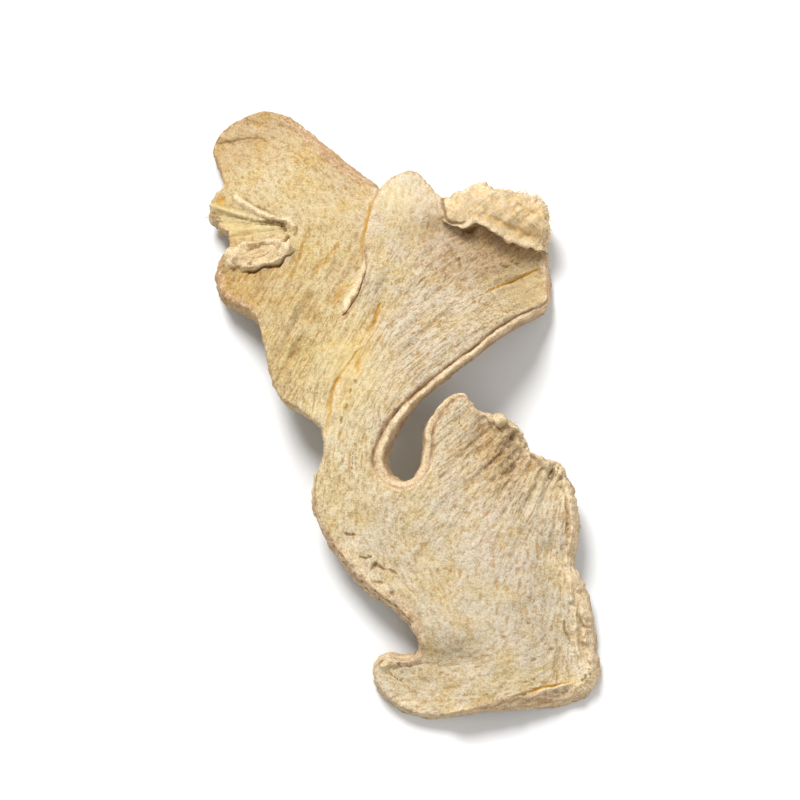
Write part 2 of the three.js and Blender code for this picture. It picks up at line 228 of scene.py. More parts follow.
RIDGES = [
    # bud scar, upper lip
    (0.5, 0.36, 1, [(-22.6, 29.6), (-20.6, 27.8), (-18.5, 26.4), (-16.4, 25.2), (-14.6, 24.9),
        (-13.7, 23.4)]),
    # left finger, fold above the crease of the tip
    (0.15, 0.6, 0.2, [(-24.6, 38.2), (-21.4, 39), (-17.6, 39.4)]),
    # shoulder, rolls
    (0.6, 0.42, 1, [(9.6, -2), (11, -2.9), (12.2, -4.2)]),
    (0.6, 0.45, 1, [(12, -2.9), (13.4, -3.5), (14.4, -5)]),
    (0.6, 0.42, 1, [(14.2, -4.3), (15.4, -5.9), (15.3, -7.2)]),
    (0.5, 0.4, 0.9, [(16, -6.6), (17.4, -8), (18.4, -9.4)]),
    # right flank
    (0.5, 0.36, 0.9, [(19.6, -9), (20.6, -10.6), (21.3, -13.6), (21.5, -16), (21.4, -19.1),
        (21.3, -21.6)]),
    (0.4, 0.35, 0.7, [(21.2, -13.4), (22.4, -14.4), (22.8, -16), (22.2, -18)]),
    (0.6, 0.35, 0.8, [(22.4, -21.6), (21.4, -22.6), (21.2, -24.4), (21.4, -26)]),
    (0.4, 0.3, 0.7, [(21.6, -25.8), (22, -28.6), (21.9, -30.6), (22.6, -33.2)]),
    (0.45, 0.36, 0.9, [(23.2, -26), (23.6, -29), (23.4, -31), (24, -33.6), (23, -35.6)]),
    # foot
    (0.6, 0.26, 1, [(22.6, -35.8), (20.3, -36.4), (18.1, -37.2), (15.6, -38), (13.4, -39),
        (10.6, -39.7), (5, -40)]),
    # hook
    (0.45, 0.5, 0.5, [(2.8, -32.6), (0.6, -33), (-1.6, -33.2), (-3, -34.4)]),
    # fork
    (0.25, 0.45, 0.4, [(-5.9, 5.2), (-7.3, 2.4), (-8.3, -0.6), (-8.6, -3.4)]),
    # left flank
    (0.3, 0.6, 0.5, [(1.9, -31), (0.2, -28.4), (-2.8, -25), (-5.4, -22.4), (-8, -19)]),
    # edges of the slit
    (0.25, 0.5, 0.2, [(-2.3, 27.6), (-3.4, 23.4), (-4, 19)]),
    (0.3, 0.5, 1, [(-4.4, 22.4), (-5, 18.6), (-5.6, 15.6), (-6.5, 13.2), (-7.7, 11)]),
    # torn end, edges of the flap
    (0.3, 0.35, 0.8, [(6.4, 24.2), (7.6, 24), (9.2, 24.7), (11, 24.1), (13.4, 23), (15.8, 22.7),
        (18.6, 22.6)]),
    (0.35, 0.4, 0.8, [(5.6, 27), (7.8, 27.6), (9.6, 29.5), (10.9, 27.8), (12.8, 28), (14.5, 28.4),
        (17.6, 28.4)]),
    # crown, right edge
    (0.35, 0.4, 0.5, [(3.4, 30.4), (4.6, 28), (4.9, 25.8), (5.2, 24.6)]),
]

# Cracks, creases and stains of the upper face: depth, half width, how brown, how yellow, line

CRACKS = [
    # fork
    (0.5, 0.22, 0.2, 1, [(-2.8, 12.2), (-3.5, 10.2), (-4.5, 8.2)]),
    (0.4, 0.2, 0.05, 1, [(-5.2, 6.1), (-6.7, 3.9), (-8.3, 1.6), (-9, -0.8), (-9.3, -3.5),
        (-9.7, -4.8)]),
    (0.4, 0.18, 0.1, 1, [(-5.4, 5.2), (-5.6, 3.9), (-5.8, 2.5)]),
    # fork, yellow stain
    (0, 1.5, 0, 0.3, [(-3.4, 11.6), (-5.2, 7), (-7.4, 2.6), (-9, -2.4)]),
    # pores of the waist
    (0.35, 0.18, 0.5, 0.6, [(-5.9, 1.9), (-6.1, 1.3)]),
    (0.35, 0.18, 0.5, 0.6, [(-6.5, 0.7), (-6.8, 0)]),
    (0.35, 0.16, 0.4, 0.6, [(-7, -1.2), (-7.2, -2.1)]),
    (0.35, 0.18, 0.5, 0.6, [(-7.6, -2.9), (-7.8, -3.8)]),
    (0.35, 0.16, 0.4, 0.6, [(-7.8, -4.8), (-7.9, -5.8)]),
    # middle finger, tip
    (0.4, 0.17, 0.2, 1, [(18, 20), (15.8, 18.7), (13.4, 16.6), (10.4, 14.4)]),
    # middle finger, root
    (0.3, 0.18, 0.4, 0.1, [(2.8, 16.2), (1.4, 14.6)]),
    (0.2, 0.18, 0.3, 0.1, [(3.4, 15.6), (2, 14)]),
    # left finger
    (0.25, 0.25, 0.3, 0.4, [(-12.5, 23.2), (-13.2, 20), (-14.8, 15.6)]),
    (0.2, 0.25, 0.2, 0.5, [(-8.4, 21.8), (-10.1, 18.7), (-11.9, 16.3)]),
    (0.2, 0.25, 0.2, 0.5, [(-7.2, 15.6), (-9, 12.6)]),
    # left finger, beside the crown
    (0.15, 0.3, 0.25, 0.9, [(-4, 29.4), (-4.8, 26.8), (-5.4, 24), (-5.9, 21.6), (-5.6, 19)]),
    # left finger, tip
    (0.25, 0.16, 0.5, 0, [(-25, 37.2), (-22.7, 37.6), (-20.2, 38.2), (-17.8, 38)]),
    # body, left
    (0.35, 0.18, 0.5, 0, [(-7.5, -17.3), (-6.8, -17.6), (-5.8, -17.6)]),
    (0.35, 0.2, 0.5, 0, [(-5.3, -20.3), (-4.6, -20.6), (-3.7, -20.4)]),
    (0.4, 0.2, 0.6, 0.2, [(-4, -22.2), (-3.2, -21.5), (-2, -22.4)]),
    (0.35, 0.18, 0.5, 0.2, [(-1.6, -22.2), (-0.5, -22.9)]),
    (0.35, 0.2, 0.5, 0.4, [(-3.4, -23.6), (-2.4, -24)]),
    # bud scar: pocket, folds, slot and knot
    (0.8, 0.4, 0.7, 0.1, [(-18.2, 25.3), (-15.9, 24.8), (-15, 23.6)]),
    # the brown of this line above the upper lip is painted shadow
    (0.2, 0.14, 0.5, 0.2, [(-21, 28.8), (-18.6, 27), (-16.4, 25.9)]),
    (0.4, 0.5, 0.2, 0.9, [(-24.7, 28.4), (-23.2, 28.9)]),
    (0.8, 0.26, 1, 0, [(-14.6, 22.9), (-15.3, 21.2)]),
    (0.4, 0.18, 0.6, 0.2, [(-13.7, 24), (-13.9, 22.4)]),
    (0.5, 0.24, 0.9, 0.2, [(-14, 20.4), (-15.1, 19.3), (-15.9, 18.7), (-17.4, 18.6), (-19.2, 18.1),
        (-21, 18.3)]),
    (0.5, 0.3, 0.7, 0.1, [(-19.8, 19.3), (-19.1, 19.1)]),
    # bud scar, threads inside the lower lip
    (0.25, 0.15, 0.6, 0.7, [(-20.8, 20.5), (-19.9, 21.4), (-18.2, 21.8), (-16.7, 21.3), (-16.2, 20.9)]),
    (0.25, 0.15, 0.5, 0.6, [(-20.8, 20.5), (-19.3, 19.9), (-17.8, 20.1), (-16.8, 20.7)]),
    (0.2, 0.12, 0.5, 0.6, [(-20, 20.7), (-18.8, 21.1), (-17.6, 20.9)]),
    (0.2, 0.12, 0.5, 0.5, [(-19.4, 20.4), (-18.2, 20.5)]),
    # bud scar, ends of the lower lip
    (0.2, 0.14, 0.4, 0.5, [(-16.6, 20.2), (-15.6, 21), (-15.3, 22)]),
    (0.2, 0.14, 0.4, 0.3, [(-22, 20), (-21.2, 19.3), (-20.4, 19)]),
    # bud scar, edge
    (0.5, 0.26, 0.8, 0, [(-24.1, 25.4), (-23.6, 22.8)]),
    # torn end: edge beside the crown, pocket, hole, and folds of the flap
    (0.6, 0.28, 0.6, 0, [(5, 28.2), (5.2, 26), (5.6, 24.5), (6.3, 24.1), (7.8, 24.5)]),
    (0.8, 0.4, 0.8, 0.1, [(7.3, 23.3), (8.6, 23), (9.6, 23.7)]),
    (0.6, 0.3, 0.7, 0.4, [(11.2, 28), (12, 29.4)]),
    (0.2, 0.3, 0.1, 0.4, [(9.6, 25.6), (12.6, 24.8), (15.4, 23.8), (17.8, 23.6)]),
    (0.3, 0.25, 0.2, 0.3, [(14.4, 27), (16.2, 26.4), (17.8, 26)]),
    # hook
    (0.2, 0.16, 0.3, 0, [(2.9, -33.4), (0.8, -33.8), (-1.4, -34)]),
    (0.25, 0.16, 0.6, 0.1, [(0.4, -32.8), (-0.7, -32.9)]),
    (0.25, 0.16, 0.6, 0.1, [(-2.3, -33), (-3.1, -33.8)]),
    # shoulder, between the rolls
    (0.35, 0.16, 0.6, 0.2, [(11.3, -3.6), (12.4, -4.9)]),
    (0.35, 0.16, 0.6, 0.2, [(16.2, -7.4), (17.2, -8.8)]),
    # shoulder, holes
    (0.5, 0.26, 0.5, 0.1, [(13.9, -4.6), (13.4, -5.6)]),
    (0.3, 0.22, 0.3, 0.2, [(18.9, -9), (19.1, -9.8)]),
    (0.35, 0.2, 0.4, 0.3, [(20.4, -9.5), (20.1, -11.6)]),
    # right flank, yellow stains
    (0, 0.9, 0, 0.5, [(21.9, -22.4), (22.3, -23.8), (22.3, -25.4)]),
    (0, 0.6, 0, 0.4, [(21.6, -12.4), (22.1, -14.6), (22.2, -17.4)]),
    # right flank; the brown between its ridges is painted shadow
    (0.4, 0.2, 0.4, 0.4, [(20.6, -12.4), (20.9, -15), (20.9, -19)]),
    (0.5, 0.22, 0.6, 0.6, [(22.3, -15.2), (22.4, -17)]),
    (0.5, 0.24, 0.7, 0.2, [(24.3, -28.8), (24.1, -31.5)]),
    (0.3, 0.2, 0.3, 0.4, [(22.4, -26.6), (22.7, -29), (22.6, -31), (23.2, -33.4)]),
    (0.3, 0.2, 0.6, 0.2, [(20.3, -28), (20.6, -29.5), (21.3, -30.8)]),
    # foot
    (0.3, 0.16, 0.1, 1, [(13.4, -38.4), (15.6, -37.5), (18.3, -36.6), (21.3, -35.8)]),
    (0.4, 0.2, 0.6, 0.2, [(21, -36.9), (19, -37.6), (16, -38.5), (13.6, -39.5)]),
    # marks on the body
    (0.2, 0.25, 0.5, 0.3, [(16.2, -33.6), (16.8, -33.2)]),
    (0.2, 0.2, 0.5, 0.3, [(18.4, -31.8), (19, -31.9)]),
    (0.2, 0.25, 0.4, 0.4, [(12.5, -30.6), (12.9, -31)]),
    (0.2, 0.2, 0.4, 0.3, [(15.6, -28.7), (15.8, -29.1)]),
    (0.2, 0.22, 0.4, 0.3, [(16.4, -35.6), (16.6, -36)]),
    # marks below the torn end
    (0.25, 0.22, 0.6, 0.2, [(7.2, 19.4), (7.4, 18.5)]),
    (0.25, 0.18, 0.6, 0.3, [(12.6, 18.9), (13.7, 19.2)]),
    (0.25, 0.16, 0.4, 0.3, [(14.2, 20), (14.9, 20.2)]),
]

# Torn end of the middle finger: the lower edge of its turned flap, from left to right

TORN_EDGE = [(5.3, 24.2), (7.4, 23.6), (9.2, 24.4), (11, 23.6), (13.4, 22.5), (15.8, 22.2), (19.6, 21.9)]
FLAP_START = (4.9, 5.5)  # x where the flap starts and where it is whole
HOLLOW_END = (20, 18)  # x where the hollow below it ends and where it is whole

# Bud scar: middle and radii of its lower lip, and the point that the folds of its pocket run to

SCAR_LIP = (-18.5, 20.5, 4.3, 1.9)
SCAR_FAN = (-14, 24)

# Crumpled lumps on the shoulder and the right flank: middle, radius

CRUMPLES = [
    (11, -2.8, 0.9), (12.3, -3.2, 0.9), (14.5, -4.5, 1), (14.9, -5.8, 0.9), (16, -6.7, 0.8),
    (17.9, -8.2, 0.8), (19.7, -9, 1), (20.6, -10.6, 0.9), (21.6, -13.2, 0.9), (22.3, -14.9, 0.8),
    (21.9, -17, 0.8), (21.8, -19.4, 0.8), (22.2, -21.5, 0.8), (22.6, -23.6, 0.9), (23.4, -26.7, 1.1),
    (24.2, -28.6, 0.9), (23.7, -30.5, 1), (24.3, -32.6, 0.9), (24.6, -34.3, 1), (23.6, -35.5, 1.1),
    (22.4, -36.8, 0.8),
]

# Stretches of the outline that are ragged, pored or crinkled: x, y, how much

RAGGED = [
    (8, 28, 0.25), (13, 30, 0.5), (18, 28, 0.5), (19.4, 22, 0.3), (12, -2.5, 0.3), (17, -6, 0.3),
    (22, -10, 0.25), (23, -16, 0.2), (23, -21, 0.25), (24.5, -26, 0.2), (25, -32, 0.25), (24, -37, 0.2),
    (-24.2, 25, 0.45), (-25, 28, 0.45), (-22, 13, 0.3), (-24.4, 17, 0.25), (-24, 31, 0.2),
]
PORED = [
    (-9.5, -18.5, 0.6), (-6.5, -23, 1), (-3.5, -26, 1), (0, -28.5, 1), (1.5, -31.5, 0.8),
    (-1.5, -32.5, 0.5),
]
CRINKLED = [
    (22, -38, 1.2), (18, -39, 1.3), (14, -39.6, 1.3), (10, -40, 1), (25, -34, 1.2), (24.5, -28, 1.2),
    (23, -23, 1.2), (22.6, -17, 1.1), (22, -11, 1.1), (-24, 26, 1), (-24, 16, 1), (19.5, 18, 1),
]

# Stretches of the outline where skin reaches over the edge of the upper face: x, y, how far

SKIN_BANDS = [
    (-8, -20.5, 0.9), (-4.5, -24.6, 1.3), (-1.5, -27, 1.4), (1, -30, 1.4), (0, -32.6, 0.9),
    (22, -11, 0.9), (23, -17, 1), (23, -23, 1.2), (24.8, -29, 1.4), (25, -34, 1.5), (19.6, 20, 1),
    (19.2, 15.5, 0.8), (13, 29.6, 0.8), (17, 29, 0.9), (19, 26, 1), (-24.6, 17, 1), (-22, 13.6, 0.9),
    (13, -2.5, 0.8), (17, -6.6, 0.9), (3, 31, 0.5), (20, -38, 0.6), (12, -39.8, 0.6), (3, -40, 0.5),
]

# Stretches of the outline where the edge of the upper face is frayed and pale: x, y, how much

FRAYED = [
    (10.5, 30, 0.7), (13, 29.6, 1), (16, 29, 1), (18.6, 27.6, 1), (19.3, 24, 1), (19.4, 20.5, 0.4),
    (19.6, 17.6, 0.2), (12.5, -2.4, 0.8), (16.5, -6, 0.8), (21, -8.6, 0.9), (22.4, -13, 0.9),
    (22.8, -17, 0.8), (22.6, -21.5, 1), (24.2, -26, 0.8), (24.9, -30.5, 0.8), (25, -34.5, 1),
    (24, -37, 0.9), (-25, 27, 0.6), (1.6, -11, 0.6), (-1, -11, 0.5),
]

# Stretches of the outline where the skin stands up in a roll behind a dark groove: x, y, how strongly

ROLLED = [
    (18, 13.6, 0.5), (15, 11.6, 0.9), (12, 9, 1), (9, 6, 1), (6, 3.4, 1), (3, 0, 1), (0, -4, 1),
    (-1.6, -7, 1), (-1, -10, 0.4), (2.5, -8, 0.7), (2.7, -5, 0.8), (3.6, -3, 0.6),
]

# What the outline is like away from these stretches, and how fast they fade out

PLAIN_RAGGED = 0.07
PLAIN_CRINKLE = 0.75
PLAIN_BAND = 0.25
STRETCH_FADE = 12

# Tufts of broken fibres: x, y, how many, how far apart, direction in degrees from +X, length

TUFTS = [
    (18.3, 26.8, 26, 0.8, 115, 1.6), (17.3, 27.8, 22, 0.9, 80, 1.3), (18.9, 24.6, 18, 0.9, -60, 1.7),
    (15, 28.4, 8, 0.9, 60, 1), (19, 22.4, 8, 0.7, -100, 1.4), (24.4, -36, 10, 0.6, 20, 1.6),
    (22.8, -37.4, 8, 0.8, -80, 1.1), (24.2, -30, 6, 1.5, -60, 0.9), (22.3, -21.5, 6, 1, -70, 1),
    (18.6, -8, 6, 1.2, 20, 0.9), (13.4, -3.4, 6, 1.2, 30, 0.8), (-24.8, 27, 8, 0.8, 200, 1),
]
FIBRE_SIDES = 5
FIBRE_STEPS = 5
FIBRE_RADIUS = 0.08
FIBRE_ROOT = 0.15  # how deep the fibres start

# Blanched places: x, y, radius, how pale

BLANCHED = [
    (0.4, 28, 4, 0.6), (-6.6, 4, 3.5, 0.7), (-8, -3, 3, 0.5), (15.4, 16, 3, 0.5), (18.5, -12, 2.5, 0.4),
    (9, -28, 5, 0.2),
]

# Tints of the flesh, partly painted shade: x, y, how yellow, how grey, how tan

TINTS = [
    # left finger
    (-19, 40, 0.5, 0.25, 0.8), (-13, 33, 0.95, 0.15, 0.2), (-8, 36.4, 0.4, 0.3, 1),
    (-15, 27, 0.85, 0.25, 0.15), (-10, 19, 1, 0.3, 0.15), (-22, 17, 1, 0, 0.9), (-13, 11, 1, 0.25, 0.3),
    (-15, 4, 1, 0.2, 0.35),
    # fork and waist
    (-7, 5, 1, 0, 0), (-8, -1, 0.55, 0, 0), (-8, -6, 0.5, 0, 0), (-7, -11, 0.6, 0, 0),
    (-4, -16, 0.5, 0, 0.05),
    # middle finger
    # grey and tan at (5, 23), (9, 21.4) and (15, 20.4) are painted shade in the hollow below the torn end
    (0, 28, 0.05, 0, 0), (-1, 18, 0.25, 0.1, 0.05), (5, 23, 0, 0.8, 0.4), (9, 21.4, 0.1, 1, 1),
    (15, 20.4, 0.4, 0.8, 1), (17, 16.6, 0.8, 0, 0), (19.4, 18, 0.8, 0, 1), (11, 13, 0.4, 0.4, 0.15),
    (3, 9, 0.15, 0.75, 0), (-1, 3, 0.25, 0.6, 0),
    # body
    (5, -6, 0.35, 0.1, 0.05), (5, -14, 0.2, 0.25, 0), (13, -7.5, 0.3, 0.55, 0.8),
    (18, -14, 0.1, 0.1, 0.1), (12, -21, 0.1, 0.15, 0.05), (-3, -21, 0.35, 0.1, 0.05),
    (3, -27, 0.2, 0.15, 0), (15, -30, 0.1, 0.05, 0.05), (5, -33.6, 0.3, 0.1, 0.2),
    (10, -37, 0.25, 0.35, 0.05), (0, -36, 0.3, 0, 0), (23.5, -29, 0.4, 0, 0),
]
TINT_REACH = 3.5  # how far each tint spreads

# Colours in display values from 0 to 255, laid over each other in this order:
# what varies, the values where the colour starts and is full, how strong it is, and the colour

FLESH_COLOUR = (209, 193, 165)
FLESH_MOTTLES = [
    ("clouds", 0.5, 0.64, 0.45, (200, 168, 108)),
    ("clouds", 0.5, 0.36, 0.5, (216, 204, 188)),
    ("warmth", 0.48, 0.62, 0.28, (212, 188, 122)),
    ("warmth", 0.48, 0.36, 0.35, (208, 194, 178)),
    ("streak", 0.5, 0.1, 0.5, (156, 126, 80)),
    ("streak", 0.5, 0.9, 0.4, (222, 211, 188)),
    ("lines", 0.01, 0.16, 0.6, (224, 214, 190)),
    ("lines", -0.01, -0.16, 0.8, (152, 124, 82)),
    ("flakes", 0.52, 0.68, 0.42, (226, 216, 196)),
    ("flakes", 0.48, 0.32, 0.6, (164, 132, 84)),
    ("fleck", 0.55, 0.85, 0.35, (230, 222, 206)),
    ("fleck", 0.45, 0.15, 0.35, (160, 128, 82)),
    ("grain", 0.5, 0.68, 0.35, (236, 230, 216)),
    ("grain", 0.5, 0.32, 0.4, (146, 116, 72)),
]
SKIN_MOTTLES = [
    ("fleck", 0.45, 0.8, 0.5, (230, 212, 186)),
    ("flakes", 0.5, 0.36, 0.5, (164, 124, 80)),
    ("grain", 0.5, 0.32, 0.4, (140, 102, 62)),
    ("grain", 0.5, 0.68, 0.4, (234, 218, 194)),
]

# Tints that darken the flesh, in places as painted shade: mask, how strong, factor for each of red, green
# and blue

TINT_COLOURS = [
    ("yellow", 0.5, (0.89, 0.81, 0.36)),
    ("grey_and_shade", 0.6, (0.66, 0.62, 0.62)),
    ("tan_and_shade", 0.65, (0.7, 0.5, 0.26)),
]


# Helpers

def smoothstep(low, high, value):
    t = np.clip((value - low) / (high - low), 0, 1)
    return t * t * (3 - 2 * t)


def bell(value, width):
    """1 at zero, falling to 0 on both sides."""
    return np.exp(-((value / width) ** 2))


def patch(x, y, middle_x, middle_y, wide, high):
    """1 in the middle of a soft oval, falling to 0 outside it."""
    return np.exp(-(((x - middle_x) / wide) ** 2 + ((y - middle_y) / high) ** 2))


def noise(x, y, seed):
    """Smooth noise over the plane, from about -1 to 1, with lumps one unit apart."""
    rng = np.random.default_rng(seed)
    count = 4096
    turns = rng.uniform(0, 2 * np.pi, count)
    shuffle = rng.permutation(count)
    column = np.floor(x).astype(int)
    row = np.floor(y).astype(int)
    across = x - column
    up = y - row

    def corner(right, above):
        angle = turns[shuffle[(shuffle[(column + right) % count] + row + above) % count]]
        return np.cos(angle) * (across - right) + np.sin(angle) * (up - above)

    ease_across = across**3 * (across * (across * 6 - 15) + 10)
    ease_up = up**3 * (up * (up * 6 - 15) + 10)
    low = corner(0, 0) + ease_across * (corner(1, 0) - corner(0, 0))
    high = corner(0, 1) + ease_across * (corner(1, 1) - corner(0, 1))
    return 1.6 * (low + ease_up * (high - low))


def lumps(x, y, size, seed):
    """Noise with lumps of one size."""
    return noise(x / size, y / size, seed)


def on_line(line, x, y):
    """Distance of each point from a line, and how far along the line its nearest place is, from 0 to 1."""
    points = np.array(line, float)
    lengths = np.hypot(*(points[1:] - points[:-1]).T)
    before = np.concatenate(([0], np.cumsum(lengths)))
    distance = np.full(x.shape, np.inf)
    along = np.zeros(x.shape)
    for start, end, length, past in zip(points[:-1], points[1:], lengths, before):
        step = (end - start) / length
        t = np.clip((x - start[0]) * step[0] + (y - start[1]) * step[1], 0, length)
        here = np.hypot(x - start[0] - t * step[0], y - start[1] - t * step[1])
        closer = here < distance
        distance = np.where(closer, here, distance)
        along = np.where(closer, (past + t) / before[-1], along)
    return distance, along


def spread(spots, x, y, reach):
    """Weight of each spot at each point, adding up to 1."""
    spots = np.array(spots, float)
    square = (x[:, None] - spots[:, 0]) ** 2 + (y[:, None] - spots[:, 1]) ** 2
    weights = np.exp(-(square - square.min(axis=1, keepdims=True)) / (2 * reach**2))
    return weights / weights.sum(axis=1, keepdims=True)


def add_object(name, data):
    thing = bpy.data.objects.new(name, data)
    bpy.context.collection.objects.link(thing)
    return thing


def plan_tree(points):
    """Tree that finds the point that is nearest on the plan."""
    tree = KDTree(len(points))
    for index, point in enumerate(points):
        tree.insert((point[0], point[1], 0), index)
    tree.balance()
    return tree


# Outline

def closed_curve(points, steps):
    """Centripetal Catmull-Rom curve through a closed list of points."""
    here = np.array(points, float)
    before, after, beyond = (np.roll(here, k, axis=0) for k in (1, -1, -2))
    steps_between = (here - before, after - here, beyond - after)
    gap_before, gap, gap_after = (np.linalg.norm(s, axis=1, keepdims=True) ** 0.5 for s in steps_between)
    leave = (here - before) / gap_before - (after - before) / (gap_before + gap) + (after - here) / gap
    arrive = (after - here) / gap - (beyond - here) / (gap + gap_after) + (beyond - after) / gap_after
    leave *= gap
    arrive *= gap
    t = (np.arange(steps) / steps)[None, :, None]
    square = (3 * (after - here) - 2 * leave - arrive)[:, None]
    cube = (2 * (here - after) + leave + arrive)[:, None]
    return (here[:, None] + leave[:, None] * t + square * t**2 + cube * t**3).reshape(-1, here.shape[1])


def along_outline(points, stretches, elsewhere):
    """Value at each point: that of a stretch (x, y, value) nearby, fading to the value elsewhere."""
    values = np.full(len(points), float(elsewhere))
    for x, y, value in stretches:
        near = np.exp(-((points[:, 0] - x) ** 2 + (points[:, 1] - y) ** 2) / STRETCH_FADE)
        values = np.maximum(values, value * near)
    return values


def even_outline(spacing):
    """The outline as points about one spacing apart, the way inwards at each, and how far along each is."""
    curve = closed_curve(OUTLINE, CURVE_STEPS)
    closed = np.vstack((curve, curve[:1]))
    lengths = np.hypot(*(closed[1:, :2] - closed[:-1, :2]).T)
    past = np.concatenate(([0], np.cumsum(lengths)))
    places = np.linspace(0, past[-1], round(past[-1] / spacing), endpoint=False)
    points = np.stack([np.interp(places, past, closed[:, k]) for k in range(3)], axis=1)
    way = np.roll(points, -1, axis=0) - np.roll(points, 1, axis=0)
    inwards = np.stack((way[:, 1], -way[:, 0]), axis=1)
    inwards /= np.linalg.norm(inwards, axis=1, keepdims=True)
    nicks = noise(places / 1.5, places * 0, 71) + 0.7 * noise(places / 0.7, places * 0, 72)
    nicks *= along_outline(points, RAGGED, PLAIN_RAGGED)
    points[:, :2] += inwards * nicks[:, None]
    return points, inwards, places


def rim_noise(size, level, seed):
    """Noise along the rim, with lumps of one size, at one level of it."""
    return noise(outline_places / size, np.full(len(outline), level), seed)


outline, outline_inwards, outline_places = even_outline(OUTLINE_SPACING)
outline_tree = plan_tree(outline)
outline_roll = along_outline(outline, ROLLED, 0)
outline_groove = outline_roll * np.clip(0.8 + 0.6 * rim_noise(2.5, 0.0, 57), 0.2, 1)
outline_band = along_outline(outline, SKIN_BANDS, PLAIN_BAND)
outline_pores = along_outline(outline, PORED, 0)
outline_frayed = along_outline(outline, FRAYED, 0)
outline_crinkle = along_outline(outline, CRINKLED, PLAIN_CRINKLE)


def at_outline(x, y):
    """Distance of plan points from the outline, negative outside it, and the nearest outline point."""
    nearest = np.array([outline_tree.find((a, b, 0))[1] for a, b in zip(x, y)])
    away = np.stack((x, y), axis=1) - outline[nearest, :2]
    depth = (away * outline_inwards[nearest]).sum(axis=1)
    distance = np.hypot(*away.T)
    close = np.abs(depth) > 0.7 * distance
    return np.where(close, np.abs(depth), distance) * np.sign(depth), nearest


# Curled sheet

def dome_height(x, y):
    heights = np.array(SPOT_HEIGHTS)[:, 2]
    return spread(SPOT_HEIGHTS, x, y, SPOT_REACH) @ heights


def dome_normal(x, y):
    step = 0.1
    slope_x = (dome_height(x + step, y) - dome_height(x - step, y)) / (2 * step)
    slope_y = (dome_height(x, y + step) - dome_height(x, y - step)) / (2 * step)
    normal = np.stack((-slope_x, -slope_y, np.ones_like(x)), axis=1)
    return normal / np.linalg.norm(normal, axis=1, keepdims=True)


def sheet_height(x, y):
    """Height of the middle of the folded sheet, which comes down to one level at its feet."""
    height = dome_height(x, y)
    for rise, width, line in FOLDS:
        height += rise * bell(on_line(line, x, y)[0], width)
    for foot_x, foot_y in FEET:
        height += (FOOT_HEIGHT - height) * patch(x, y, foot_x, foot_y, FOOT_REACH, FOOT_REACH)
    return height


def slit_move(x, y):
    """How the slit moves each point: across to the middle of the slit, and up or down."""
    slit_x, slit_y = np.array(SLIT_LINE).T
    along = (y - slit_y[0]) / (slit_y[-1] - slit_y[0])
    aside = np.interp(y, slit_y, slit_x) - x
    share = -np.sign(aside) * bell(aside, SLIT_REACH)
    across = -share * SLIT_LAP * smoothstep(0.25, 0.6, along)
    up = share * SLIT_STEP * smoothstep(0, 0.3, along)
    return across, up


def curled(flat, distance, nearest, face):
    """Points of the upper face (1) or underside (-1), from the flat sheet, and their places on the plan."""
    give = np.clip(1 - distance / RIM_SLOPE, 0, 1) ** 2
    drawn = outline[nearest, 2] * give * (face > 0)
    plan = flat + outline_inwards[nearest] * drawn[:, None]
    x, y = plan.T
    flesh = FLESH + (RIM_FLESH - FLESH) * np.exp(-distance / RIM_REACH)
    across, up = slit_move(*flat.T)
    middle = np.stack((x + across, y, sheet_height(x, y) + up), axis=1)
    return middle + dome_normal(x, y) * (face * flesh / 2)[:, None], plan


# Flat meshes of the faces

def hexagons(spacing, rng):
    """Slightly shaken points of a grid of hexagons that covers the outline."""
    low = outline[:, :2].min(axis=0)
    high = outline[:, :2].max(axis=0)
    rows = np.arange(low[1], high[1], spacing * GRID_ROWS)
    columns = np.arange(low[0], high[0], spacing)
    x, y = np.meshgrid(columns, rows)
    x = x + 0.5 * spacing * (np.arange(len(rows)) % 2)[:, None]
    shake = rng.uniform(-GRID_SHAKE, GRID_SHAKE, (2, *x.shape)) * spacing
    return (x + shake[0]).ravel(), (y + shake[1]).ravel()


def detailed(x, y):
    """Whether each point lies beside a crack or the torn edge."""
    near = np.zeros(x.shape, bool)
    for line in [crack[-1] for crack in CRACKS] + [TORN_EDGE]:
        low = np.min(line, axis=0) - DETAIL_REACH
        high = np.max(line, axis=0) + DETAIL_REACH
        inside = np.flatnonzero((x > low[0]) & (x < high[0]) & (y > low[1]) & (y < high[1]))
        near[inside] |= on_line(line, x[inside], y[inside])[0] < DETAIL_REACH
    return near


def face_mesh(spacing, seed, detail_spacing=None):
    """Plan points of one face, the outline's own first, and triangles that face up."""
    rng = np.random.default_rng(seed)
    x, y = hexagons(spacing, rng)
    if detail_spacing:
        coarse = ~detailed(x, y)
        detail_x, detail_y = hexagons(detail_spacing, rng)
        near = detailed(detail_x, detail_y)
        x = np.concatenate((x[coarse], detail_x[near]))
        y = np.concatenate((y[coarse], detail_y[near]))
    inside = at_outline(x, y)[0] > 0.6 * min(spacing, OUTLINE_SPACING)
    points = np.vstack((outline[:, :2], np.stack((x[inside], y[inside]), axis=1)))
    count = len(outline)
    edges = [(i, (i + 1) % count) for i in range(count)]
    _, _, triangles, sources, _, _ = delaunay_2d_cdt([Vector(p) for p in points], edges, [], 1, 1e-7)
    source = np.array([s[0] for s in sources])
    return points, source[np.array(triangles)]


# Relief: the functions of the upper face give the height that they add and the masks that colour it

def grain_way(x, y):
    """Unit vectors along the fibres."""
    angles = 2 * np.radians(np.array(GRAIN)[:, 2])
    weights = spread(GRAIN, x, y, GRAIN_REACH)
    angle = np.arctan2(weights @ np.sin(angles), weights @ np.cos(angles)) / 2
    return np.cos(angle), np.sin(angle)


def line_masks(x, y, strength):
    """How strongly the fine lines of each direction show."""
    way_x, way_y = grain_way(x, y)
    masks = {}
    for degrees in LINE_WAYS:
        angle = math.radians(degrees)
        off = np.abs(way_x * math.sin(angle) - way_y * math.cos(angle))
        masks[f"lines_{degrees}"] = strength * smoothstep(math.sin(math.radians(LINE_TURN)), 0.05, off)
    return masks


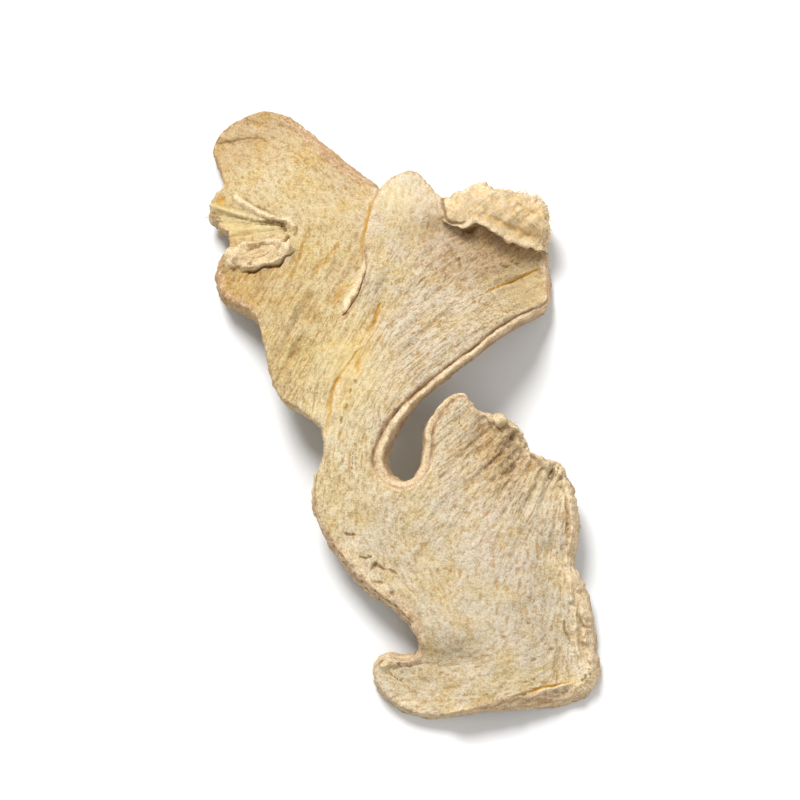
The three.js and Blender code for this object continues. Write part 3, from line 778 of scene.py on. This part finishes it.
def streaks(x, y, width, reach, seed):
    """Noise drawn out along the fibres, of unit spread."""
    step = width / 2
    total = lumps(x, y, width, seed)
    for sign in (1, -1):
        at_x, at_y = x.copy(), y.copy()
        last_x, last_y = grain_way(x, y)
        last_x, last_y = sign * last_x, sign * last_y
        for i in range(1, int(reach / step) + 1):
            way_x, way_y = grain_way(at_x, at_y)
            turn = np.sign(way_x * last_x + way_y * last_y)
            last_x, last_y = way_x * turn, way_y * turn
            at_x += step * last_x
            at_y += step * last_y
            fade = 0.5 + 0.5 * math.cos(math.pi * i * step / (reach + step))
            total = total + fade * lumps(at_x, at_y, width, seed)
    return total / total.std()


def flesh_texture(x, y):
    """Fibres, flecks, pits and lumps of the cut face."""
    fibrous = spread(GRAIN, x, y, GRAIN_REACH) @ np.array(GRAIN)[:, 3]
    lumpy = patch(x, y, *LUMPY)
    puckered = patch(x, y, *PUCKERED)
    broad = streaks(x, y, 1.2, 5, 1)
    narrow = streaks(x, y, 0.6, 3, 2)
    flecks = 0.8 * streaks(x, y, 0.45, 0.5, 3) + 1.5 * lumps(x, y, 0.42, 4)
    pits = smoothstep(1, 2.4, streaks(x, y, 0.4, 0.5, 9) + 0.5 * lumps(x, y, 4, 10))
    height = broad * (0.08 * fibrous + 0.05 * puckered + 0.1 * lumpy)
    height += narrow * (0.05 * fibrous + 0.07 * puckered + 0.06 * lumpy)
    height += flecks * (0.022 + 0.1 * puckered) - 0.06 * pits + 0.2 * lumps(x, y, 7, 8)
    height += (0.14 + 0.26 * lumpy) * (lumps(x, y, 3.2, 5) + 0.6 * lumps(x, y, 1.6, 6))
    masks = {
        "lip": 0.7 * puckered * smoothstep(0.6, 1.6, flecks),
        "pit": pits,
        "streak": 0.5 + 0.14 * (fibrous + 0.4 * puckered + 0.5 * lumpy) * (broad + narrow),
        "fleck": 0.5 + 0.17 * flecks,
        **line_masks(x, y, np.clip(0.15 + fibrous + puckered, 0, 1)),
    }
    return height, masks


def torn_end(x, y):
    """Turned flap at the end of the middle finger, and the hollow below it, darkened with painted shade."""
    edge_x, edge_y = np.array(TORN_EDGE).T
    above = y - np.interp(x, edge_x, edge_y) + 0.3 * lumps(x, y, 1.1, 31)
    past_crown = smoothstep(*FLAP_START, x)
    flap = smoothstep(-0.1, 0.18, above) * past_crown
    lip = 0.6 + 0.35 * np.exp(-np.maximum(above, 0))
    along = 0.94 * x - 0.34 * y
    across = 0.34 * x + 0.94 * y
    folds = 0.25 * noise(along / 4, across / 1.5, 32) + 0.07 * noise(along / 1.4, across / 0.6, 33)
    hollow = 0.5 * (1 - flap) * bell(above, 1.2) * past_crown * smoothstep(*HOLLOW_END, x)
    # the brown laid on the hollow below the flap is painted shade
    return flap * (lip + folds) - hollow, {"torn": flap, "brown_and_shade": 0.65 * hollow}


def bud_scar(x, y):
    """Rolled lower lip of the bud scar, and above it the pocket, whose folds run to one point."""
    middle_x, middle_y, wide, high = SCAR_LIP
    out = np.hypot((x - middle_x) / wide, (y - middle_y) / high)
    out += 0.16 * noise(x / 1.3, y / 1.1, 61) + 0.06 * lumps(x, y, 0.5, 64)
    inner = smoothstep(0.9, 0.55, out)
    lip = smoothstep(1.15, 1, out)
    roll = bell(out - 0.84, 0.18) * (0.6 + 0.3 * lumps(x, y, 0.9, 67)) - 0.3 * smoothstep(0.65, 0.3, out)
    fan_x, fan_y = SCAR_FAN
    turn = np.arctan2(y - fan_y, fan_x - x)
    reach = np.hypot(x - fan_x, y - fan_y)
    fan = smoothstep(-0.16, -0.08, turn) * smoothstep(0.42, 0.34, turn)
    fan *= smoothstep(0.6, 2.2, reach) * (1 - lip)
    folds = noise(turn / 0.06, reach / 9, 62) + 0.5 * noise(turn / 0.03, reach / 6, 63)
    masks = {
        "lip": lip * (0.9 - 0.25 * inner),
        # the brown between the pocket's folds is painted shade
        "brown_and_shade": np.maximum(0.08 * inner, 0.45 * fan * smoothstep(0.3, 0.6, -folds)),
        "pale": 0.8 * fan,
    }
    return roll + 0.5 * fan * folds, masks


def wobbled(x, y):
    """Points moved a little, so that the lines drawn through them are uneven."""
    moved_x = x + 0.16 * lumps(x, y, 1.3, 11) + 0.06 * lumps(x, y, 0.5, 12)
    moved_y = y + 0.16 * lumps(x, y, 1.3, 13) + 0.06 * lumps(x, y, 0.5, 14)
    return moved_x, moved_y


def ridges(x, y):
    """Ridges and rolls with pale crests."""
    height, crest = np.zeros((2, len(x)))
    uneven = 1 + 0.4 * lumps(x, y, 0.8, 21)
    moved = wobbled(x, y)
    for rise, width, how_pale, line in RIDGES:
        apart, along = on_line(line, *moved)
        bump = bell(apart, width) * smoothstep(0, 0.12, along) * smoothstep(0, 0.12, 1 - along)
        height += rise * bump * uneven
        crest = np.maximum(crest, how_pale * smoothstep(0.25, 0.75, bump))
    return height, {"lip": crest}


def cracks(x, y):
    """Cracks and creases with brown depths, in places painted shadow, and yellow stains."""
    height, brown_and_shade, stain = np.zeros((3, len(x)))
    moved = wobbled(x, y)
    for depth, width, how_brown, how_yellow, line in CRACKS:
        apart, along = on_line(line, *moved)
        taper = np.sqrt(np.clip(4 * along * (1 - along), 0.05, 1))
        cut = np.clip(1 - apart / (1.6 * width * taper), 0, 1)
        height -= depth * cut * taper
        brown_and_shade = np.maximum(brown_and_shade, how_brown * smoothstep(0.2, 0.9, cut))
        stain = np.maximum(stain, how_yellow * bell(apart, 1.1 * width) * taper)
    return height, {"brown_and_shade": brown_and_shade, "stain": stain}


def blanched(x, y):
    """Pale places, which stay level."""
    pale = np.zeros_like(x)
    for middle_x, middle_y, radius, how_pale in BLANCHED:
        pale = np.maximum(pale, how_pale * patch(x, y, middle_x, middle_y, radius, radius))
    return 0, {"pale": pale}


def crumple_cover(x, y):
    """How far each point is on a crumpled lump, from 0 to 1."""
    cover = np.zeros_like(x)
    for middle_x, middle_y, radius in CRUMPLES:
        away = np.hypot(x - middle_x, y - middle_y) / radius
        cover = np.maximum(cover, smoothstep(1.2, 0.5, away + 0.3 * lumps(x, y, 0.6, 65)))
    return cover


def crumples(x, y, cover):
    """Crumpled lumps with a net of brown creases."""
    across, along = x / 0.9, y / 2
    net = np.abs(noise(across, along, 23) + 0.4 * noise(2.2 * across, 2.2 * along, 123))
    wrinkles = smoothstep(0.2, 0.04, net)
    height = cover * (0.4 + 0.4 * noise(x / 0.7, y / 1.2, 24) - 0.35 * wrinkles)
    return height, {"brown_and_shade": 0.5 * cover * wrinkles, "lip": 0.5 * cover, "pale": cover}


def skin_edge(x, y, distance, nearest, crumple):
    """Pored skin that reaches over the rounded edge of the cut face."""
    band = outline_band[nearest]
    ragged = 0.3 * lumps(x, y, 0.9, 22) + 0.5 * lumps(x, y, 2.5, 28)
    edge = smoothstep(1.15, 0.75, (distance + ragged * np.minimum(band, 1)) / band)
    pores = edge * smoothstep(0.3, 0.6, lumps(x, y, 0.75, 25))
    height = edge * (0.12 * lumps(x, y, 1.1, 26) + 0.08 * lumps(x, y, 0.5, 27)) - 0.2 * pores
    height -= 0.1 * np.exp(-distance / 0.4)
    masks = {
        "skin": 0.85 * edge * (1 - crumple),
        "lip": 0.9 * outline_frayed[nearest] * edge,
        "brown_and_shade": 0.5 * pores,
    }
    return height, masks


def upper_relief(x, y, distance, nearest):
    """All of the relief together. Where masks of the same name meet, the stronger one holds."""
    crumple = crumple_cover(x, y)
    layers = [layer(x, y) for layer in (flesh_texture, torn_end, bud_scar, ridges, cracks, blanched)]
    layers += [crumples(x, y, crumple), skin_edge(x, y, distance, nearest, crumple)]
    masks = {}
    for _, shown in layers:
        for name, values in shown.items():
            masks[name] = np.maximum(masks.get(name, values), values)
    return sum(height for height, _ in layers), masks


def underside_relief(x, y):
    broad = streaks(x, y, 1.5, 5, 41)
    flecks = streaks(x, y, 0.6, 1.2, 43)
    masks = {"streak": 0.5 + 0.1 * broad, "fleck": 0.5 + 0.17 * flecks}
    return 0.05 * broad + 0.04 * flecks + 0.08 * lumps(x, y, 3, 42), masks


# Faces

def vertex_normals(points, triangles):
    a, b, c = (points[triangles[:, k]] for k in range(3))
    facing = np.cross(b - a, c - a)
    normals = np.zeros_like(points)
    for k in range(3):
        np.add.at(normals, triangles[:, k], facing)
    return normals / np.maximum(np.linalg.norm(normals, axis=1, keepdims=True), 1e-12)


def upper_face():
    """Flat points, triangles, curled points, places on the plan, and masks."""
    flat, triangles = face_mesh(TOP_SPACING, 1, DETAIL_SPACING)
    distance, nearest = at_outline(*flat.T)
    points, plan = curled(flat, distance, nearest, 1)
    height, masks = upper_relief(*plan.T, distance, nearest)
    points += vertex_normals(points, triangles) * height[:, None]
    return flat, triangles, points, plan, masks


def lower_face():
    """The same for the underside, and the level where its feet are worn off."""
    flat, triangles = face_mesh(UNDERSIDE_SPACING, 2)
    points, plan = curled(flat, *at_outline(*flat.T), -1)
    level = points[:, 2].min() + FOOT_TRIM
    height, masks = underside_relief(*plan.T)
    points -= vertex_normals(points, triangles) * height[:, None]
    return flat, triangles[:, ::-1], points, plan, masks, level


# Rim

def rim_pores(share):
    """How deep in a pore each point of one row of the rim is, from 0 to 1."""
    return outline_pores * smoothstep(0.25, 0.6, rim_noise(0.8, share * 3.6, 56))


def rim_points(top, bottom, floor):
    """Rows of points down the slanted rim: its roll, the groove above that, its wrinkles and pores."""
    wall = bottom - top
    way = np.roll(bottom, -1, axis=0) - np.roll(bottom, 1, axis=0)
    out = np.cross(way, wall)
    out /= np.linalg.norm(out, axis=1, keepdims=True)
    wide = smoothstep(0.3, 1.6, outline[:, 2])
    rows = []
    for share in RIM_ROWS:
        bulge = (0.08 + 0.32 * wide) * (4 * share * (1 - share)) ** 0.6
        roll = outline_roll * bell(share - 0.4, 0.2)
        groove = (0.05 + 0.4 * outline_groove) * bell(share - 0.085, 0.05)
        wrinkle = 0.2 * rim_noise(3.2, share * 6, 51)
        wrinkle += 0.16 * rim_noise(1.2, share * 4, 52) + 0.12 * rim_noise(0.6, share * 5, 53)
        swell = bulge + 0.4 * roll + outline_crinkle * wrinkle * min(1, share * 6) - 0.25 * rim_pores(share)
        row = top + wall * share + out * swell[:, None]
        row[:, 2] = np.maximum(row[:, 2] + roll - groove, floor + 0.03 + 0.3 * (1 - share))
        rows.append(row)
    return np.vstack(rows)


def rim_masks():
    rows = []
    for share in RIM_ROWS:
        groove = (0.05 + 0.95 * outline_groove) * bell(share - 0.09, 0.06)
        # the lower wall under the roll is darkened with painted shade
        shade_under_roll = 0.5 * outline_roll * smoothstep(0.5, 0.8, share)
        crest = outline_roll * bell(share - 0.32, 0.17)
        rows.append({
            "skin": 0.3 + 0.7 * smoothstep(0.25, 0.8, outline[:, 2]),
            "brown_and_shade": np.maximum(groove + shade_under_roll, 0.7 * rim_pores(share)),
            "lip": np.maximum(crest, 0.8 * outline_frayed * smoothstep(0.9, 0.4, share)),
            "streak": 0.5 + 0.5 * rim_noise(2.5, share * 9, 54),
            "fleck": 0.5 + 0.3 * rim_noise(0.7, share * 6, 55),
        })
    return {name: np.concatenate([row[name] for row in rows]) for name in rows[0]}


def rim_faces(low_start, rim_start):
    """Faces between the edge of the upper face, the rows of the rim and the edge of the underside."""
    around = np.arange(len(outline))
    after = np.roll(around, -1)
    starts = [0, *(rim_start + k * len(outline) for k in range(len(RIM_ROWS))), low_start]
    bands = zip(starts[:-1], starts[1:])
    return [np.stack((a + around, a + after, b + after, b + around), axis=1) for a, b in bands]


# Broken fibres

def fibre_points(root, way, bend, reach):
    """Points of one thin tapered fibre, ring by ring."""
    aside = np.array((-way[1], way[0], 0))
    points = []
    for t in np.linspace(0, 1, FIBRE_STEPS + 1):
        middle = root + way * reach * (t - 0.2) + aside * reach * bend * t**2
        radius = FIBRE_RADIUS * (1 - 0.7 * t)
        for angle in np.linspace(0, 2 * np.pi, FIBRE_SIDES, endpoint=False):
            ring = aside * math.cos(angle) + np.array((0, 0, 1)) * math.sin(angle)
            points.append(middle + radius * ring)
    return points


def fibre_faces(start):
    """Faces of one fibre: its sides and its two ends."""
    rings = start + np.arange((FIBRE_STEPS + 1) * FIBRE_SIDES).reshape(-1, FIBRE_SIDES)
    after = np.roll(rings, -1, axis=1)
    sides = np.stack((rings[:-1], after[:-1], after[1:], rings[1:]), axis=-1).reshape(-1, 4)
    return [*sides.tolist(), rings[0, ::-1].tolist(), rings[-1].tolist()]


def tuft_fibres(top, first):
    """Points and faces of the fibres of torn and frayed places. The first point has the number first."""
    rng = np.random.default_rng(81)
    tree = plan_tree(top)
    points, faces = [], []
    for tuft_x, tuft_y, count, apart, direction, length in TUFTS:
        for _ in range(count):
            near = tree.find((tuft_x + rng.normal(0, apart), tuft_y + rng.normal(0, apart), 0))[1]
            angle = math.radians(direction + rng.normal(0, 28))
            way = np.array((math.cos(angle), math.sin(angle), rng.uniform(-0.15, 0.25)))
            bend = rng.normal(0, 0.6)
            reach = length * rng.uniform(0.5, 1.2)
            faces += fibre_faces(first + len(points))
            points += fibre_points(top[near] - (0, 0, FIBRE_ROOT), way, bend, reach)
    return np.array(points), faces


# Texture map

def rim_map():
    """Places in the map of the corners of the rim's faces, laid out in strips."""
    start = outline_places
    end = np.append(start[1:], 2 * start[-1] - start[-2])
    strip = np.floor(start / STRIP_LENGTH)
    bottom = np.ptp(outline[:, 1]) + 2 + strip * STRIP_HEIGHT
    levels = (0, *RIM_ROWS, 1)
    places = []
    for upper, lower in zip(levels[:-1], levels[1:]):
        corners = []
        for along, level in ((start, upper), (end, upper), (end, lower), (start, lower)):
            height = bottom + (1 - level) * (STRIP_HEIGHT - STRIP_GAP)
            corners.append(np.stack((along - strip * STRIP_LENGTH, height), axis=1))
        places.append(np.stack(corners, axis=1).reshape(-1, 2))
    return np.vstack(places) * SMALL_SCALE + (MAP_COLUMN, MAP_MARGIN)


def fibre_map():
    """Places in the map of the corners of the fibres' faces, in one cell for each fibre."""
    cell = []
    for k in range(FIBRE_STEPS):
        for i in range(FIBRE_SIDES):
            for right, above in ((0, 0), (1, 0), (1, 1), (0, 1)):
                cell.append(((i + right) / (FIBRE_SIDES + 1), 0.2 + 0.6 * (k + above) / FIBRE_STEPS))
    for end in (0.08, 0.9):
        for i in range(FIBRE_SIDES):
            angle = 2 * math.pi * i / FIBRE_SIDES
            cell.append((0.5 + 0.08 * math.cos(angle), end + 0.05 * math.sin(angle)))
    row, column = np.divmod(np.arange(sum(tuft[2] for tuft in TUFTS)), FIBRE_COLUMNS)
    corners = np.stack((column, row), axis=1)[:, None] + np.array(cell)
    return corners.reshape(-1, 2) * FIBRE_CELL + (MAP_COLUMN, MAP_SIDE - FIBRE_ROWS * FIBRE_CELL[1])


def texture_map(top_flat, top_triangles, low_flat, low_triangles):
    """Place in the map, from 0 to 1, of each corner of each face."""
    corner = outline[:, :2].min(axis=0)
    top = top_flat[top_triangles.ravel()] - corner + MAP_MARGIN
    low = (low_flat[low_triangles.ravel()] - corner) * SMALL_SCALE + (MAP_COLUMN, MAP_MARGIN)
    return np.vstack((top, low, rim_map(), fibre_map())) / MAP_SIDE


# Mesh of the slice

def joined_masks(parts):
    """Masks of all points, from the masks and size of each part. The first part has all the masks."""
    joined = {}
    for name in parts[0][0]:
        joined[name] = np.concatenate([masks.get(name, np.zeros(size)) for masks, size in parts])
    return joined


def slice_mesh():
    """Points in millimetres, faces, the masks of each point, and the map place of each corner."""
    top_flat, top_triangles, top, top_plan, top_masks = upper_face()
    low_flat, low_triangles, low, low_plan, low_masks, level = lower_face()
    count = len(outline)
    rim = rim_points(top[:count], low[:count], level)
    rim_start = len(top) + len(low)
    fibres, tufts = tuft_fibres(top, rim_start + len(rim))
    points = np.vstack((top, low, rim, fibres))
    points[:, 2] = np.maximum(points[:, 2] - level, 0)
    faces = np.vstack((top_triangles, low_triangles + len(top))).tolist()
    faces += np.vstack(rim_faces(len(top), rim_start)).tolist() + tufts

    half = np.full(len(fibres), 0.5)
    fibre_masks = {"lip": 2 * half, "streak": half, "fleck": half}
    parts = zip((top_masks, low_masks, rim_masks(), fibre_masks), map(len, (top, low, rim, fibres)))
    masks = joined_masks(list(parts))
    plan = np.vstack((top_plan, low_plan, np.tile(outline[:, :2], (len(RIM_ROWS), 1)), fibres[:, :2]))
    tints = spread(TINTS, *plan.T, TINT_REACH) @ np.array(TINTS)[:, 2:]
    masks["yellow"], masks["grey_and_shade"], masks["tan_and_shade"] = tints.T
    return points, faces, masks, texture_map(top_flat, top_triangles, low_flat, low_triangles)


def make_slice():
    points, faces, masks, map_places = slice_mesh()
    low, high = (np.array(corner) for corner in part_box("ginger_slice"))
    points *= MM
    points[:, :2] += (low + high)[:2] / 2 - (points.min(axis=0) + points.max(axis=0))[:2] / 2
    mesh = bpy.data.meshes.new("ginger_slice_skin")
    mesh.from_pydata(points.tolist(), [], faces)
    for name, values in masks.items():
        layer = mesh.attributes.new(name, "FLOAT", "POINT")
        layer.data.foreach_set("value", np.clip(values, 0, 1).astype(np.float32))
    mesh.uv_layers.new(name="OFBake").uv.foreach_set("vector", map_places.astype(np.float32).ravel())
    mesh.polygons.foreach_set("use_smooth", np.ones(len(mesh.polygons), bool))
    mesh.update()
    return add_object("dried_slice", mesh)


# Materials

def srgb(red, green, blue):
    """Linear colour from one given in display values from 0 to 255."""
    values = [v / 255 for v in (red, green, blue)]
    return (*[v / 12.92 if v <= 0.04045 else ((v + 0.055) / 1.055) ** 2.4 for v in values], 1)


class Nodes:
    """Short ways to add nodes to one material."""

    def __init__(self, material):
        material.use_nodes = True
        self.tree = material.node_tree
        self.tree.nodes.clear()
        self.place = self.add("ShaderNodeTexCoord", {}).outputs["Object"]

    def add(self, kind, sockets, **settings):
        """A node whose sockets, given by name or number, are set to a value or linked to another socket."""
        node = self.tree.nodes.new(kind)
        for name, value in settings.items():
            setattr(node, name, value)
        for socket, value in sockets.items():
            if isinstance(value, bpy.types.NodeSocket):
                self.tree.links.new(value, node.inputs[socket])
            else:
                node.inputs[socket].default_value = value
        return node

    def mask(self, name):
        return self.add("ShaderNodeAttribute", {}, attribute_name=name).outputs["Fac"]

    def math(self, operation, first, second):
        return self.add("ShaderNodeMath", {0: first, 1: second}, operation=operation).outputs[0]

    def mix(self, factor, first, second, blend="MIX"):
        sockets = {0: factor, 6: first, 7: second}
        return self.add("ShaderNodeMix", sockets, data_type="RGBA", blend_type=blend).outputs[2]

    def over(self, below, factor, amount, colour, blend="MIX"):
        """One colour laid over another, as strongly as a factor times an amount."""
        return self.mix(self.math("MULTIPLY", factor, amount), below, colour, blend)

    def ramp(self, value, low, high):
        """0 up to low, 1 from high on, and smooth between them."""
        sockets = {"Value": value, "From Min": low, "From Max": high}
        return self.add("ShaderNodeMapRange", sockets, interpolation_type="SMOOTHSTEP").outputs["Result"]

    def noise(self, size_mm, detail, roughness):
        """Noise whose lumps are about size_mm apart."""
        sockets = {"Scale": 1 / (size_mm * MM), "Detail": detail, "Roughness": roughness}
        return self.add("ShaderNodeTexNoise", {"Vector": self.place, **sockets}).outputs["Fac"]

    def lines(self, degrees, length_mm, width_mm):
        """Noise drawn out into fine lines along one direction of the plan, from -0.5 to 0.5."""
        size = (length_mm * MM, width_mm * MM, width_mm * MM)
        sockets = {"Vector": self.place, "Rotation": (0, 0, math.radians(degrees)), "Scale": size}
        turned = self.add("ShaderNodeMapping", sockets, vector_type="TEXTURE").outputs["Vector"]
        noise = self.add("ShaderNodeTexNoise", {"Vector": turned, "Scale": 1, "Detail": 2})
        return self.math("SUBTRACT", noise.outputs["Fac"], 0.5)

    def finish(self, sockets):
        """Shader with these sockets, as the material's surface."""
        shader = self.add("ShaderNodeBsdfPrincipled", sockets)
        self.add("ShaderNodeOutputMaterial", {"Surface": shader.outputs["BSDF"]})


def varied(nodes):
    """What the colours vary by: noises of several sizes, the fine lines, and two masks."""
    lines = 0.0
    for degrees in LINE_WAYS:
        shown = nodes.math("MULTIPLY", nodes.mask(f"lines_{degrees}"), nodes.lines(degrees, 5, 0.24))
        lines = nodes.math("ADD", lines, shown)
    return {
        "clouds": nodes.noise(3.5, 4, 0.6),
        "warmth": nodes.noise(7, 3, 0.6),
        "flakes": nodes.noise(0.9, 4, 0.65),
        "grain": nodes.noise(0.25, 2, 0.6),
        "lines": lines,
        "streak": nodes.mask("streak"),
        "fleck": nodes.mask("fleck"),
    }


def mottled(nodes, vary, colour, mottles):
    for name, low, high, amount, mottle in mottles:
        colour = nodes.over(colour, nodes.ramp(vary[name], low, high), amount, srgb(*mottle))
    return colour


def flesh_colour(nodes, vary):
    """Cream to yellow, mottled and specked, with pits, pale and tinted places, and stains."""
    colour = mottled(nodes, vary, srgb(*FLESH_COLOUR), FLESH_MOTTLES)
    colour = nodes.over(colour, nodes.mask("pit"), 0.75, srgb(176, 130, 66))
    colour = nodes.over(colour, nodes.mask("pale"), 0.65, srgb(235, 221, 182))
    # the grey and tan tints hold painted shade below the torn end
    for name, amount, tint in TINT_COLOURS:
        colour = nodes.over(colour, nodes.mask(name), amount, (*tint, 1), "MULTIPLY")
    crumbs = nodes.ramp(nodes.noise(0.5, 4, 0.7), 0.35, 0.65)
    torn = nodes.mix(crumbs, srgb(222, 186, 126), srgb(240, 222, 186))
    colour = nodes.over(colour, nodes.mask("torn"), 0.7, torn)
    return nodes.over(colour, nodes.mask("stain"), 0.8, srgb(212, 160, 36))


def skin_colour(nodes, vary):
    """Pale to rosy brown."""
    colour = nodes.mix(nodes.ramp(vary["streak"], 0.25, 0.9), srgb(184, 150, 108), srgb(228, 206, 168))
    colour = nodes.over(colour, nodes.mask("tan_and_shade"), 0.75, srgb(172, 130, 86))
    return mottled(nodes, vary, colour, SKIN_MOTTLES)


def dried_ginger():
    """Dry fibrous flesh with skin on the rim, pale lips, and brown depths that are partly painted shade."""
    material = bpy.data.materials.new("dried_ginger")
    nodes = Nodes(material)
    vary = varied(nodes)
    colour = nodes.mix(nodes.mask("skin"), flesh_colour(nodes, vary), skin_colour(nodes, vary))
    lip = nodes.mix(nodes.ramp(vary["grain"], 0.35, 0.65), srgb(212, 184, 142), srgb(240, 224, 190))
    colour = nodes.over(colour, nodes.mask("lip"), 0.85, lip)
    # brown of pores and cracks, and painted shade in the hollow below the torn end, under the rim's roll
    # and between folds
    colour = nodes.over(colour, nodes.mask("brown_and_shade"), 0.9, srgb(92, 54, 22))
    rough = nodes.math("ADD", nodes.math("MULTIPLY", vary["grain"], 0.6), vary["flakes"])
    rough = nodes.math("ADD", rough, nodes.math("MULTIPLY", vary["lines"], 0.8))
    bump = nodes.add("ShaderNodeBump", {"Height": rough, "Strength": 0.8, "Distance": 0.16 * MM})
    surface = {"Base Color": colour, "Normal": bump.outputs["Normal"]}
    nodes.finish({**surface, "Roughness": 0.85, "Specular IOR Level": 0.2})
    return material


def pale_floor():
    material = bpy.data.materials.new("pale_floor")
    Nodes(material).finish({"Base Color": (FLOOR_GREY, FLOOR_GREY, FLOOR_GREY, 1), "Roughness": 0.9})
    return material


# Stage

def aim(thing, target):
    thing.rotation_euler = (Vector(target) - thing.location).to_track_quat("-Z", "Y").to_euler()


def add_floor():
    reach = FLOOR_REACH
    corners = ((-reach, -reach), (reach, -reach), (reach, reach), (-reach, reach))
    mesh = bpy.data.meshes.new("floor")
    mesh.from_pydata([(*corner, FLOOR_LEVEL) for corner in corners], [], [(0, 1, 2, 3)])
    mesh.materials.append(pale_floor())
    floor = add_object("floor", mesh)


def add_light(name, place, size, watts):
    data = bpy.data.lights.new(name, "AREA")
    data.shape = "DISK"
    data.size = size
    data.energy = watts
    light = add_object(name, data)
    light.location = place
    aim(light, (0, 0, 0))


def set_stage():
    add_floor()
    for light in LIGHTS:
        add_light(*light)
    world = bpy.data.worlds.new("soft_light")
    world.use_nodes = True
    world.node_tree.nodes["Background"].inputs["Color"].default_value = (1, 1, 1, 1)
    world.node_tree.nodes["Background"].inputs["Strength"].default_value = AMBIENT_LIGHT
    bpy.context.scene.world = world
    bpy.context.scene.view_settings.view_transform = "Standard"


def set_camera():
    """Long lens, from the front and well above the floor."""
    elevation = math.radians(CAMERA_ELEVATION)
    target = Vector(CAMERA_TARGET)
    data = bpy.data.cameras.new("camera")
    data.lens = CAMERA_LENS
    camera = add_object("camera", data)
    camera.location = target + CAMERA_DISTANCE * Vector((0, -math.cos(elevation), math.sin(elevation)))
    aim(camera, target)
    bpy.context.scene.camera = camera


slice_piece = make_slice()
slice_piece.data.materials.append(dried_ginger())
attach(slice_piece, "root")
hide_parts("ginger_slice")
set_stage()
set_camera()
